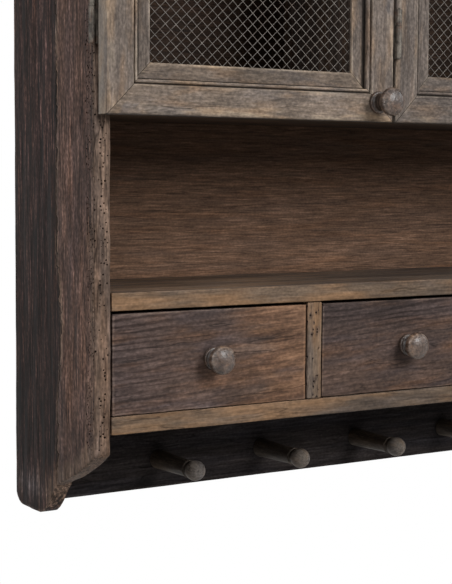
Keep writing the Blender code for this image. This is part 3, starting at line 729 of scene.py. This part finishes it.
turned_wood = old_wood(
    "turned_wood", (81, 66, 57), (112, 96, 84), fibre=420.0, run=4.0, contrast=2.2, warmed=0.6, gloss=0.45,
    polish=(0.22, 0.42),
)
peg_wood = old_wood(
    "peg_wood", (80, 71, 63), (114, 105, 97), fibre=420.0, run=2.0, contrast=1.8, warmed=0.4, gloss=0.1,
    polish=(0.45, 0.7),
)
PEG_HEAD_RADIUS = 0.0107
PEG_HEAD_LENGTH = 0.022
PEG_WAIST_RADIUS = 0.0088
PEG_BASE_RADIUS = 0.0105
PEG_RING = 0.001  # ring behind the head stands this far off the shank
PEG_RING_HALF = 0.0013  # half the ring's thickness
SHANK_START = 0.0016  # from the ring's middle to the shank, and from the shank's other end to the rail
SHANK_END = 0.001
SEAT = 0.0003  # gap under a peg's shank and a knob's flange
SEAT_BEVEL = 0.0004


def peg_profile(length):
    """Ball head, a thin ring behind it, and a shank that swells towards the rail; with each point's wear."""
    ball = arc((0.0, length - PEG_HEAD_RADIUS), (PEG_HEAD_RADIUS, PEG_HEAD_RADIUS), 90, -36, 14)
    ball[0] = (0.0, length)
    ring_at = length - PEG_HEAD_LENGTH
    ring = arc((PEG_WAIST_RADIUS, ring_at), (PEG_RING, PEG_RING_HALF), 90, -90, 6)
    swell = PEG_BASE_RADIUS - PEG_WAIST_RADIUS
    shank_length = ring_at - SHANK_START - SHANK_END
    shank = [
        (PEG_WAIST_RADIUS + swell * share, ring_at - SHANK_START - share * shank_length)
        for share in (0.0, 0.15, 0.3, 0.45, 0.6, 0.75, 0.9, 0.97, 1.0)
    ]
    foot = [(PEG_BASE_RADIUS - SEAT_BEVEL, SEAT), (0.0, SEAT)]
    wear = [(0.9, 0.0)] * (len(ball) - 1) + [(0.0, 0.45)]
    wear += [(0.3, 0.25)] * len(ring) + [(0.0, 0.36)] * len(shank) + [(0.0, 0.9)] * len(foot)
    return ball + ring + shank + foot, wear


rail_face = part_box("peg_rail")[0].y
for number in range(1, 7):
    add_turned(f"peg_{number}", "carcass", rail_face, peg_profile, peg_wood, 70 + number)

# Door frames
# Each door is four moulded sticks mitred at the corners: a flat, a bead sunk beside it, and a thin inner lip
# that holds the mesh. The grey-brown finish is rubbed through along the arrises; dirt and painted shade lie
# in the quirk and on the lip, and painted shade darkens the rails' outer edges.

door_wood = old_wood(
    "door_wood", (121, 107, 95), (156, 139, 120), fibre=420.0, run=3.0, contrast=1.8,
    weights=(1.0, 0.9, 1.2, 1.2), pored=0.2,
)
DOOR_THICKNESS = 0.0172
FRAME_WIDTH = 0.033
BEAD_WIDTH = 0.0045
BEAD_QUIRK = 0.0012
QUIRK_WIDTH = 0.0013
QUIRK_DEPTH = 0.0035
QUIRK_TAPER = 0.0002
LIP_WIDTH = 0.016
LIP_DROP = 0.007
LIP_THICKNESS = 0.004
LIP_ROUND = 0.0012
FLAT_START = 0.0045  # first row of points on the flat, and the way to the next; and the same on the lip
FLAT_STEP = 0.0042
LIP_START = 0.006
LIP_STEP = 0.0035
SAW_CUT = 0.0002  # half the gap at a mitre
FRAME_ARRIS = 0.0018
BACK_ARRIS = 0.0006
STICK_STATIONS = 110
STICK_CROWDING = 1.25  # how far the stations gather towards the mitres, in radians
STICK_RELIEF = 0.0005
RELIEF_BELOW = 0.0005  # how far below the lip's face the wood is still hollowed and chipped
EDGE_MARGIN = 0.0002  # what lies nearer to the outer edge is part of it
STICK_SHARP = math.radians(40)
CHIP_DEPTH = 0.0012
PATCH_RADIUS = 0.012
PATCHES = (0.230, 0.025, 0.120)  # places of the filler along the sticks, from a mitre
MITRE_DIRT = 0.0005  # how far the dirt in a mitre spreads along the stick
MITRE_FILL = 0.8
MITRE_WEAR = 0.55
MITRE_ZONE = 0.012  # length along the stick over which the wear at a mitre goes down by 1
# dirt with painted shade in the quirk, the bead's painted shadow on the lip, painted shade on the outer edge
RAIL_MARKS = (0.85, 0.0015, 0.0, 0.7)  # quirk dirt and shade, reach of the lip's shade, grey, edge shade
STILE_MARKS = (0.4, 0.0050, 0.45, 0.0)
END_GREY = 0.9  # grey of the door's edges
# dirt and painted shade over the sunk lip
LIP_DIRT_AND_SHADE = 0.3
DOOR_GREYS = (0.0, 0.6, 0.2)  # grey, and painted shade for the light's falloff, over the whole of each door
DOOR_FALLOFF_SHADE = (0.0, 0.3, 0.15)


def stick_section(quirk_dirt_and_shade, bead_shadow_reach):
    """A stick's section: depth behind the face, distance from the outer edge, worn, dirt and painted shade.
    """
    bead_start = FRAME_WIDTH - BEAD_WIDTH
    bead = (BEAD_WIDTH - QUIRK_WIDTH) / 2
    inner = FRAME_WIDTH + LIP_WIDTH
    section = [(DOOR_THICKNESS - BACK_ARRIS, 0.0, 0.9, 0.0), (0.010, 0.0, 0.8, 0.0), (0.005, 0.0, 0.8, 0.0)]
    for depth, across in arc((FRAME_ARRIS, FRAME_ARRIS), (FRAME_ARRIS, FRAME_ARRIS), 270, 180, 4):
        section.append((depth, across, 0.5, 0.0))
    section += [(0.0, FLAT_START + n * FLAT_STEP, max(0.0, 0.45 - 0.2 * n), 0.0) for n in range(5)]
    section += [(0.0, bead_start - 0.0022, 0.3, 0.0), (0.0002, bead_start - 0.0005, 0.6, 0.0)]
    for side in (QUIRK_TAPER, QUIRK_WIDTH - QUIRK_TAPER):
        section.append((QUIRK_DEPTH, bead_start + side, 0.0, quirk_dirt_and_shade))
    crown = arc((BEAD_QUIRK + bead, FRAME_WIDTH - bead), (bead, bead), 270, 90, 8)
    for n, (depth, across) in enumerate(crown):
        section.append((depth, across, 0.45, 0.0 if n else quirk_dirt_and_shade / 2))
    for share, dirt_and_shade in ((0.0, 1.0), (0.6, 0.9), (1.0, LIP_DIRT_AND_SHADE)):
        section.append((LIP_DROP, FRAME_WIDTH + share * bead_shadow_reach, 0.0, dirt_and_shade))
    section += [(LIP_DROP, FRAME_WIDTH + LIP_START + n * LIP_STEP, 0.0, LIP_DIRT_AND_SHADE) for n in range(3)]
    for depth, across in arc((LIP_DROP + LIP_ROUND, inner - LIP_ROUND), (LIP_ROUND, LIP_ROUND), 180, 90, 3):
        section.append((depth, across, 0.5, 0.0))
    back = LIP_DROP + LIP_THICKNESS
    section += [(back, inner, 0.0, 0.6), (back, FRAME_WIDTH, 0.0, 0.8)]
    section += [(DOOR_THICKNESS, FRAME_WIDTH, 0.2, 0.0), (DOOR_THICKNESS, FRAME_WIDTH / 2, 0.0, 0.0)]
    section += [(DOOR_THICKNESS, BACK_ARRIS, 0.4, 0.0)]
    return section


def stick(name, length, seed, patch_at, quirk_dirt_and_shade, bead_shadow_reach, grey, edge_shade, dull):
    """A moulded stick along +X with its face at y = 0 and its outer edge at z = 0, mitred at both ends.

    A grey patch of old filler lies at one place along its outer edge.
    """
    section = stick_section(quirk_dirt_and_shade, bead_shadow_reach)
    bm = bmesh.new()
    drift = Vector(SEED_STEP) * seed
    rows = []
    marks = {"grain": [], "worn": [], "grime_and_shade": [], "silver": []}
    even = np.linspace(-STICK_CROWDING, STICK_CROWDING, STICK_STATIONS)
    shares = list(0.5 + 0.5 * np.sin(even) / math.sin(STICK_CROWDING))
    shares[1:1] = [MITRE_DIRT / length]
    shares[-1:-1] = [1 - MITRE_DIRT / length]
    for share in shares:
        row = []
        for depth, across, bare, dirt_and_shade in section:
            x = across + SAW_CUT + share * (length - 2 * across - 2 * SAW_CUT)
            to_mitre = min(share, 1 - share) * (length - 2 * across)
            on_wood = Vector((x * 9, across * 110, depth * 110)) + drift
            hollow = 0.5 + 0.5 * noise.fractal(on_wood, 0.8, 2.0, 4)
            chipped = bare * max(0.0, noise.noise(Vector((x * 60, across * 40, 7.0)) + drift)) * CHIP_DEPTH
            sunk = STICK_RELIEF * hollow + chipped if depth < LIP_DROP + RELIEF_BELOW else 0.0
            row.append(bm.verts.new((x, depth + sunk, across)))
            marks["grain"].append(Vector((x, across, depth)) + drift)
            marks["worn"].append(max(bare, MITRE_WEAR - to_mitre / MITRE_ZONE))
            in_mitre = MITRE_FILL if to_mitre < MITRE_DIRT / 2 else 0.0
            # painted shade on the rails' outer edges, and over the whole door for the light falling off
            marks["grime_and_shade"].append(max(dirt_and_shade, in_mitre, edge_shade if across == 0.0 else dull))
            patched = math.hypot(x - patch_at, across) < PATCH_RADIUS
            marks["silver"].append(1.0 if patched else END_GREY if across < EDGE_MARGIN else grey)
        rows.append(row)
    for before, after in zip(rows, rows[1:]):
        for n in range(len(section)):
            after_n = (n + 1) % len(section)
            bm.faces.new((before[n], before[after_n], after[after_n], after[n]))
    bm.faces.new(rows[0])
    bm.faces.new(rows[-1])
    return shaped(name, bm, door_wood, marks, STICK_SHARP)


STICKS = ("hinge_stile", "knob_stile", "top_rail", "bottom_rail")
for door in (1, 2, 3):
    boxes = {name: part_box(f"door_{door}_{name}") for name in STICKS}
    left = min(low.x for low, high in boxes.values())
    right = max(high.x for low, high in boxes.values())
    bottom = boxes["bottom_rail"][0].z
    top = boxes["top_rail"][1].z
    face = boxes["bottom_rail"][0].y
    for index, name in enumerate(STICKS):
        if name == "bottom_rail":
            corner, angle, length = (left, face, bottom), 0.0, right - left
        elif name == "top_rail":
            corner, angle, length = (right, face, top), math.pi, right - left
        elif boxes[name][0].x == left:
            corner, angle, length = (left, face, top), math.pi / 2, top - bottom
        else:
            corner, angle, length = (right, face, bottom), -math.pi / 2, top - bottom
        patch_at = PATCHES[(door + index) % len(PATCHES)]
        quirk_dirt_and_shade, bead_shadow_reach, grey, edge_shade = RAIL_MARKS if name.endswith("rail") else STILE_MARKS
        grey = max(grey, DOOR_GREYS[door - 1])
        mesh = stick(
            f"door_{door}_{name}_stick", length, 80 + 5 * door + index, patch_at, quirk_dirt_and_shade, bead_shadow_reach, grey,
            edge_shade, DOOR_FALLOFF_SHADE[door - 1],
        )
        mesh.transform(Matrix.Translation(corner) @ Matrix.Rotation(angle, 4, "Y"))
        piece(mesh.name, mesh, f"door_{door}", [f"door_{door}_{name}"])

# Wire mesh
# Thin galvanised wire woven into small diamonds, cut to the rebate and held behind the lip of each frame.
# It has gone dull, with spots of rust.

METAL_PAINTED_SHADE = (8, 7, 6)
METALLIC = 0.75
SCRATCHED = 0.25  # roughness that the scratches add


def worn_metal(name, dark, light, rusty, rust, roughness):
    """Dull metal with a mottled skin, fine scratches and rust spots, on Object coordinates."""
    material, surface = new_material(name)
    tree = material.node_tree
    place = add("ShaderNodeTexCoord", None, "Object", tree)
    mottle = rough(place, (140, 140, 140), 4.0, 0.6)
    scratch = rough(place, (900, 900, 160), 2.0)
    colour = blend(ranged(mottle, 0.35, 0.65), tint(*dark), tint(*light))
    spots = ranged(rough(place, (60, 60, 60), 4.0, 0.7), 0.52, 0.66, 0.0, rust)
    colour = blend(spots, colour, tint(*rusty))
    # the marked screw slots are painted dark as their shade
    grime_and_shade = add("ShaderNodeAttribute", None, "Fac", tree, attribute_name="grime_and_shade")
    blend(grime_and_shade, colour, tint(*METAL_PAINTED_SHADE)).into(surface.inputs["Base Color"])
    surface.inputs["Metallic"].default_value = METALLIC
    ranged(scratch, 0.3, 0.7, roughness, roughness + SCRATCHED).into(surface.inputs["Roughness"])
    bump = add("ShaderNodeBump", {"Strength": 0.3, "Distance": 0.0002, "Height": scratch})
    bump.into(surface.inputs["Normal"])
    return material


def joined(*shapes):
    """Several shapes as one."""
    both = shapes[0].socket.id_data.nodes.new("GeometryNodeJoinGeometry")
    for shape in shapes:
        shape.into(both.inputs[0])
    return Value(both.outputs[0])


wire_steel = worn_metal("wire_steel", (78, 73, 69), (116, 110, 104), (74, 57, 46), 0.5, 0.5)
WIRE_RADIUS = 0.00038
WIRE_SIDES = 5
DIAMOND_WIDE = 0.0116
DIAMOND_HIGH = 0.0106
STEPS_A_CROSSING = 4

WIRE_INPUTS = {
    "Width": "Float", "Height": "Float", "Diamond Wide": "Float", "Diamond High": "Float",
    "Lines": "Int", "Step": "Float", "Radius": "Float", "Wire": "Material",
}
wire_tree, given = new_tree("diamond_mesh", WIRE_INPUTS)
section = add("GeometryNodeCurvePrimitiveCircle", {"Resolution": WIRE_SIDES, "Radius": given["Radius"]})
half_wide = given["Width"] * 0.5
half_high = given["Height"] * 0.5
slope = given["Diamond Wide"] / given["Diamond High"]
feet = add("GeometryNodeMeshLine", {
    "Count": given["Lines"], "Start Location": combined(given["Lines"] * -0.5 * given["Diamond Wide"]),
    "Offset": combined(given["Diamond Wide"]),
})
families = []
for lean in (-1.0, 1.0):
    upper_end = combined(half_high * slope * lean, 0.0, half_high)
    lower_end = upper_end * (-1.0, -1.0, -1.0)
    line = add("GeometryNodeCurvePrimitiveLine", {"Start": lower_end, "End": upper_end})
    lines = add("GeometryNodeInstanceOnPoints", {"Points": feet, "Instance": line})
    wires = add("GeometryNodeResampleCurve", {
        "Curve": add("GeometryNodeRealizeInstances", {0: lines}), "Length": given["Step"],
    }, mode="LENGTH")
    at_x, at_z = parts(add("GeometryNodeInputPosition", tree=wire_tree))[::2]
    along = at_x / given["Diamond Wide"]
    up = at_z / given["Diamond High"]
    falling, rising = (calc("COSINE", phase * math.pi) for phase in (along + up, along - up))
    over = falling * rising * given["Radius"]
    woven = add("GeometryNodeSetPosition", {"Geometry": wires, "Offset": combined(0.0, over * lean)})
    beyond = calc("GREATER_THAN", calc("ABSOLUTE", at_x), half_wide)
    families.append(add("GeometryNodeDeleteGeometry", {"Geometry": woven, "Selection": beyond}))
drawn = add("GeometryNodeCurveToMesh", {
    "Curve": joined(*families), "Profile Curve": section, "Fill Caps": True,
})
close_tree(wire_tree, drawn, given["Wire"])

for door in (1, 2, 3):
    node = f"door_{door}_mesh"
    low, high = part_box(node)
    width, height = high.x - low.x, high.z - low.z
    reach = width + height * DIAMOND_WIDE / DIAMOND_HIGH
    mesh = grown(wire_tree, node + "_wires", {
        "Width": width - 2 * WIRE_RADIUS, "Height": height - 2 * WIRE_RADIUS,
        "Diamond Wide": DIAMOND_WIDE, "Diamond High": DIAMOND_HIGH,
        "Lines": 2 * math.ceil(reach / DIAMOND_WIDE / 2) + 1,
        "Step": math.hypot(DIAMOND_WIDE, DIAMOND_HIGH) / 2 / STEPS_A_CROSSING,
        "Radius": WIRE_RADIUS, "Wire": wire_steel,
    })
    mesh.transform(Matrix.Translation((low + high) / 2))
    piece(node + "_wires", mesh, f"door_{door}", [node])

# Hinges
# Steel butt hinges with the pin knuckles outside; the middle door's are cranked round its edge to the
# partition. Small slotted screws, sunk almost flush, hold the outer doors' leaves and the partition's
# flanges.

hinge_steel = worn_metal("hinge_steel", (58, 54, 50), (104, 98, 90), (96, 62, 42), 0.6, 0.45)
for node in frame["nodes"]:
    if node.startswith("hinge_"):
        frame["nodes"][node].material_slots[0].material = hinge_steel

SCREW_INPUTS = {
    "Places": "Geometry", "Radius": "Float", "Height": "Float", "Slot": "Float", "Steel": "Material",
}
SLOT_SHADE_DISC = (0.96, 0.3)  # radius and height of the slot's painted-shade disc, as shares of the head's
SLOT_CUTTER = 3.0  # the cutter's length and height, in the head's radii and heights
HEAD_SIDES = 24

screw_tree, given = new_tree("slotted_screws", SCREW_INPUTS)
head = {"Vertices": HEAD_SIDES, "Radius": given["Radius"], "Depth": given["Height"]}
slot_size = combined(given["Slot"], given["Radius"] * SLOT_CUTTER, given["Height"] * SLOT_CUTTER)
halves = add("GeometryNodeMeshBoolean", {
    "Mesh 1": add("GeometryNodeMeshCylinder", head),
    "Mesh 2": add("GeometryNodeMeshCube", {"Size": slot_size}),
}, **cutting)
# a disc painted dark in each slot, as the slot's shade
slot_shade_disc = add("GeometryNodeMeshCylinder", {
    **head, "Radius": given["Radius"] * SLOT_SHADE_DISC[0], "Depth": given["Height"] * SLOT_SHADE_DISC[1],
})
screw = joined(halves, marked(slot_shade_disc, "grime_and_shade", 1.0))
turn = add("GeometryNodeInputNamedAttribute", {"Name": "turn"}, 0, screw_tree, data_type="FLOAT_VECTOR")
screws = add("GeometryNodeInstanceOnPoints", {"Points": given["Places"], "Instance": screw, "Rotation": turn})
close_tree(screw_tree, screws, given["Steel"])

SCREW_RADIUS = 0.0027
SCREW_PROUD = 0.0001
SCREW_SLOT = 0.0008
SCREW_APART = 0.016
MIDDLE_TURN = 0.7  # turn of the middle screw's slot, and from one screw to the next, in radians
TURN_ON = 1.9
LEAF_THICKNESS = 0.0014
LEAF_HALF_GAP = 0.00015  # from the pin's plane to a leaf
LEAF_START = 0.0063  # from the barrel's outside to the plate
FLANGE_MIDDLE = 0.0042  # from the edge of a cranked leaf's flange to its screws


def screw_places(node, plate_x, face, outward):
    """Places and turns of three screws up a leaf; outward is -1 for a plate that faces the front."""
    low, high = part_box(node)
    middle = (low.z + high.z) / 2
    height = face + outward * SCREW_PROUD / 2
    tilt = -outward * math.pi / 2
    return [
        ((plate_x, height, middle + n * SCREW_APART), (tilt, MIDDLE_TURN + TURN_ON * n, 0.0))
        for n in (-1, 0, 1)
    ]


screws_on = {"carcass": [], "door_1": [], "door_3": []}
for end in ("lower", "upper"):
    for door in (1, 3):
        low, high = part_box(f"hinge_{door}_{end}_fixed_leaf")
        pin_y = (low.y + high.y) / 2
        plate_x = (low.x + high.x + (LEAF_START if door == 1 else -LEAF_START)) / 2
        for body, leaf, outward in (("carcass", "fixed", -1), (f"door_{door}", "door", 1)):
            node = f"hinge_{door}_{end}_{leaf}_leaf"
            screws_on[body] += screw_places(node, plate_x, pin_y - outward * LEAF_HALF_GAP, outward)
    node = f"hinge_2_{end}_fixed_leaf"
    low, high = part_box(node)
    screws_on["carcass"] += screw_places(node, low.x + FLANGE_MIDDLE, high.y - LEAF_THICKNESS, -1)
for body, screws in screws_on.items():
    mesh = bpy.data.meshes.new(body + "_screw_places")
    mesh.from_pydata([place for place, turn in screws], [], [])
    store(mesh, "turn", [turn for place, turn in screws])
    mesh = grown(screw_tree, body + "_hinge_screws", {
        "Radius": SCREW_RADIUS, "Height": SCREW_PROUD, "Slot": SCREW_SLOT, "Steel": hinge_steel,
    }, mesh)
    piece(body + "_hinge_screws", mesh, body, [])

# Knobs
# Turned wooden knobs screwed on from behind: a flat flange on the wood, a waisted neck with fine rings, and a
# domed head with a rim and a turned groove. Hands have polished the rims pale; dirt and painted shade darken
# the necks.

KNOB_RADIUS = 0.0144
KNOB_LENGTH = 0.0250
KNOB_WIDEST = 0.0172
KNOB_NECK_RADIUS = 0.0088
KNOB_NECK = 0.0105
KNOB_FLANGE_RADIUS = 0.0115
KNOB_FLANGE = 0.0040
FLANGE_ROUND = 0.0012
COVE_HEIGHT = 0.0016
GROOVE_AT = 0.86  # groove on the dome and half its width, as shares of the dome's radius
GROOVE_HALF = 0.055
GROOVE_DEPTH = 0.0003
RIM_AT = 0.9  # pale rim, in the same way
RIM_HALF = 0.12
NECK_RINGS = 5
RING_DEPTH = 0.0008


def knob_profile(length):
    """Profile of a knob of this length, and the worn share and the dirt and painted shade of its points."""
    stem = length - KNOB_LENGTH
    widest = KNOB_WIDEST + stem
    dome = arc((0.0, widest), (KNOB_RADIUS, KNOB_LENGTH - KNOB_WIDEST), 90, 0, 22)
    dome[0] = (0.0, length)
    wear = []
    for n, (radius, height) in enumerate(dome):
        sunk = max(0.0, 1 - abs(radius / KNOB_RADIUS - GROOVE_AT) / GROOVE_HALF)
        dome[n] = (radius, height - sunk * GROOVE_DEPTH)
        rim = max(0.0, 1 - abs(radius / KNOB_RADIUS - RIM_AT) / RIM_HALF)
        wear.append((0.3 + 0.45 * rim, 0.3 * sunk))
    under_size = (KNOB_RADIUS - KNOB_NECK_RADIUS, KNOB_WIDEST - KNOB_NECK)
    under = arc((KNOB_NECK_RADIUS, widest), under_size, 0, -90, 8)[1:]
    # dirt and painted shade darken the head's underside, the neck's rings and the cove
    wear += [(0.5 - 0.06 * n, 0.06 * n) for n in range(1, len(under) + 1)]
    neck_end = KNOB_FLANGE + COVE_HEIGHT
    heights = np.linspace(KNOB_NECK + stem, neck_end, NECK_RINGS + 2)[1:-1]
    neck = [(KNOB_NECK_RADIUS - RING_DEPTH * (n % 2 == 0), float(height)) for n, height in enumerate(heights)]
    wear += [(0.0, 0.95 if n % 2 == 0 else 0.25) for n in range(NECK_RINGS)]
    cove_radius = KNOB_FLANGE_RADIUS - KNOB_NECK_RADIUS - FLANGE_ROUND
    cove = arc((KNOB_NECK_RADIUS + cove_radius, neck_end), (cove_radius, COVE_HEIGHT), 180, 270, 5)
    wear += [(0.0, 0.6)] * len(cove)
    rounding = (KNOB_FLANGE_RADIUS - FLANGE_ROUND, KNOB_FLANGE - FLANGE_ROUND)
    flange = arc(rounding, (FLANGE_ROUND, FLANGE_ROUND), 90, 0, 4)
    wear += [(0.1, 0.25)] * len(flange)
    foot = [(KNOB_FLANGE_RADIUS, SEAT), (0.0, SEAT)]
    wear += [(0.0, 0.6)] * len(foot)
    return dome + under + neck + cove + flange + foot, wear


knobs = [(f"door_{n}", f"door_{n}_bottom_rail") for n in (1, 2, 3)]
knobs += [(f"drawer_{n}", f"drawer_{n}_front") for n in (1, 2, 3, 4)]
for seed, (body, carrier) in enumerate(knobs, 101):
    add_turned(body + "_knob", body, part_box(carrier)[0].y, knob_profile, turned_wood, seed)

# Drawers
# An inset front of coarse banded softwood, stained reddish brown and greyed along its top, on a plain box of
# thin boards: two sides, a back and a bottom, butted and glued.

drawer_wood = old_wood(
    "drawer_wood", (93, 75, 66), (126, 104, 90), fibre=380.0, run=2.0, lean=math.radians(-3.5),
    contrast=1.75, weights=(1.4, 0.8, 1.4, 1.2), cooled=0.9, warmed=0.7, cracked=0.6, pored=0.4, bands=52.0,
)
box_wood = old_wood(
    "box_wood", (130, 106, 80), (156, 132, 104), contrast=1.5, cooled=0.2, warmed=0.2, cracked=0.2,
)
BOX_WALL = 0.009
BOX_BOTTOM = 0.006
TOPS_GREYED = (0.1, 0.9, 0.2, 0.6)
ENDS_AMBER = (1.0, 0.0, 0.6, 0.2)
# painted shade over each drawer front, for the light falling off to the right
FRONTS_FALLOFF_SHADE = (0.0, 0.28, 0.1, 0.2)
LEFT_GREY = 0.9  # at the other end of a front from its amber
LEFT_REACH = 0.5
RIGHT_WORN = 0.52
for number, (silver, amber, dull) in enumerate(zip(TOPS_GREYED, ENDS_AMBER, FRONTS_FALLOFF_SHADE), 1):
    body = f"drawer_{number}"
    low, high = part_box(body + "_front")
    mesh = old_board(
        body + "_front_board", low, high, (1, 0, 0), (0, 0, 1), drawer_wood, 110 + number,
        wear=0.0012, relief=0.0009, silver=silver, amber=amber,
    )
    share = (points_of(mesh)[:, 0] - low.x) / (high.x - low.x)
    raise_mark(mesh, "silver", amber * LEFT_GREY * np.clip(1 - share / LEFT_REACH, 0, 1))
    raise_mark(mesh, "worn", amber * RIGHT_WORN * share)
    store(mesh, "grime_and_shade", [dull] * len(mesh.vertices))
    piece(body + "_front_board", mesh, body, [body + "_front"])
    low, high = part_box(body + "_box")
    inner_low = low.x + BOX_WALL
    inner_high = high.x - BOX_WALL
    back_y = high.y - BOX_WALL
    back_low = Vector((inner_low, back_y, low.z))
    bottom_low = low + Vector((BOX_WALL, 0, 0))
    bottom_high = Vector((inner_high, back_y, low.z + BOX_BOTTOM))
    boards = {
        "left": (low, Vector((inner_low, high.y, high.z)), (0, 1, 0), (0, 0, 1)),
        "right": (Vector((inner_high, low.y, low.z)), high, (0, 1, 0), (0, 0, 1)),
        "back": (back_low, Vector((inner_high, high.y, high.z)), (1, 0, 0), (0, 0, 1)),
        "bottom": (bottom_low, bottom_high, (1, 0, 0), (0, 1, 0)),
    }
    for seed, (name, board) in enumerate(boards.items(), 120 + 10 * number):
        mesh = old_board(f"{body}_box_{name}", *board, box_wood, seed, wear=0.0008, relief=0.0003)
        piece(f"{body}_box_{name}", mesh, body, [body + "_box"])

# Studio
# A pale floor well below the cabinet, a white surround, a broad soft light from the front, one from each side
# and one from behind. The camera stands where the photograph was taken: to the left, just below the cabinet's
# middle.

FLOOR_Z = -1.6
FLOOR_RADIUS = 1.3
bm = bmesh.new()
bmesh.ops.create_circle(bm, cap_ends=True, segments=96, radius=FLOOR_RADIUS)
mesh = bpy.data.meshes.new("floor")
bm.to_mesh(mesh)
bm.free()
mesh.transform(Matrix.Translation((0.0, 0.0, FLOOR_Z)))
floor_paint, floor_surface = new_material("floor_paint")
floor_surface.inputs["Base Color"].default_value = (0.82, 0.82, 0.81, 1.0)
floor_surface.inputs["Roughness"].default_value = 0.9
mesh.materials.append(floor_paint)
floor = new_object("floor", mesh)
floor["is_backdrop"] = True

FILL_LEVEL = 0.15  # light of the white surround on the object, from the horizon and below
FILL_ABOVE = 0.45  # and from straight above
world = bpy.data.worlds.new("surround")
bpy.context.scene.world = world
world.use_nodes = True
background = world.node_tree.nodes["Background"]
camera_ray = add("ShaderNodeLightPath", None, "Is Camera Ray", world.node_tree)
mirrored = calc("MAXIMUM", camera_ray.beside("Is Glossy Ray"), camera_ray.beside("Is Transmission Ray"))
seen = calc("MAXIMUM", camera_ray, mirrored)
direction = add("ShaderNodeTexCoord", None, "Generated", world.node_tree)
fill = ranged(parts(direction)[2], 0.0, 1.0, FILL_LEVEL, FILL_ABOVE)
background.inputs["Color"].default_value = (1.0, 1.0, 1.0, 1.0)
ranged(seen, 0.0, 1.0, fill, 1.0).into(background.inputs["Strength"])


def soft_light(name, place, aim, size, watts, spread=180.0):
    """A square soft light, aimed at a point and itself unseen."""
    lamp = bpy.data.lights.new(name, "AREA")
    lamp.size = size
    lamp.energy = watts
    lamp.spread = math.radians(spread)
    made = new_object(name, lamp)
    toward = Vector(aim) - Vector(place)
    made.matrix_world = Matrix.Translation(place) @ toward.to_track_quat("-Z", "Y").to_matrix().to_4x4()
    made.visible_camera = False


soft_light("front_light", (0.3, -2.0, 0.82), (-0.25, -0.1, -0.1), 0.95, 15.2, spread=120.0)
soft_light("left_light", (-2.3, -0.8, 0.95), (0.0, -0.1, -0.05), 1.2, 24.0)
soft_light("right_light", (2.3, -0.8, 0.95), (0.0, -0.1, -0.05), 1.2, 9.0)
soft_light("back_light", (0.3, 2.5, 1.2), (0.0, 0.0, 0.0), 1.6, 26.0)

IMAGE_HEIGHT = 584  # pixels, the longer side
FOCAL_PIXELS = 1506.58
CAMERA_PLACE = Vector((-1.156194, -1.417995, -0.058675))
CAMERA_TURN = math.radians(32.864)  # from +Y towards +X
CAMERA_DIP = math.radians(4.459)
CAMERA_ROLL = math.radians(0.326)
SENSOR = 36.0
camera = bpy.data.cameras.new("camera")
camera.sensor_width = SENSOR
camera.lens = FOCAL_PIXELS * SENSOR / IMAGE_HEIGHT
viewer = new_object("camera", camera)
level = Vector((math.sin(CAMERA_TURN), math.cos(CAMERA_TURN), 0.0))
forward = level * math.cos(CAMERA_DIP) - Vector((0.0, 0.0, math.sin(CAMERA_DIP)))
right = Vector((math.cos(CAMERA_TURN), -math.sin(CAMERA_TURN), 0.0))
upward = right.cross(forward)
image_right = math.cos(CAMERA_ROLL) * right + math.sin(CAMERA_ROLL) * upward
image_up = math.cos(CAMERA_ROLL) * upward - math.sin(CAMERA_ROLL) * right
facing = Matrix((image_right, image_up, -forward)).transposed().to_4x4()
viewer.matrix_world = Matrix.Translation(CAMERA_PLACE) @ facing
bpy.context.scene.camera = viewer
bpy.context.scene.view_settings.view_transform = "Standard"

boxes = {"cad": cad_bounds, "visual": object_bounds()}
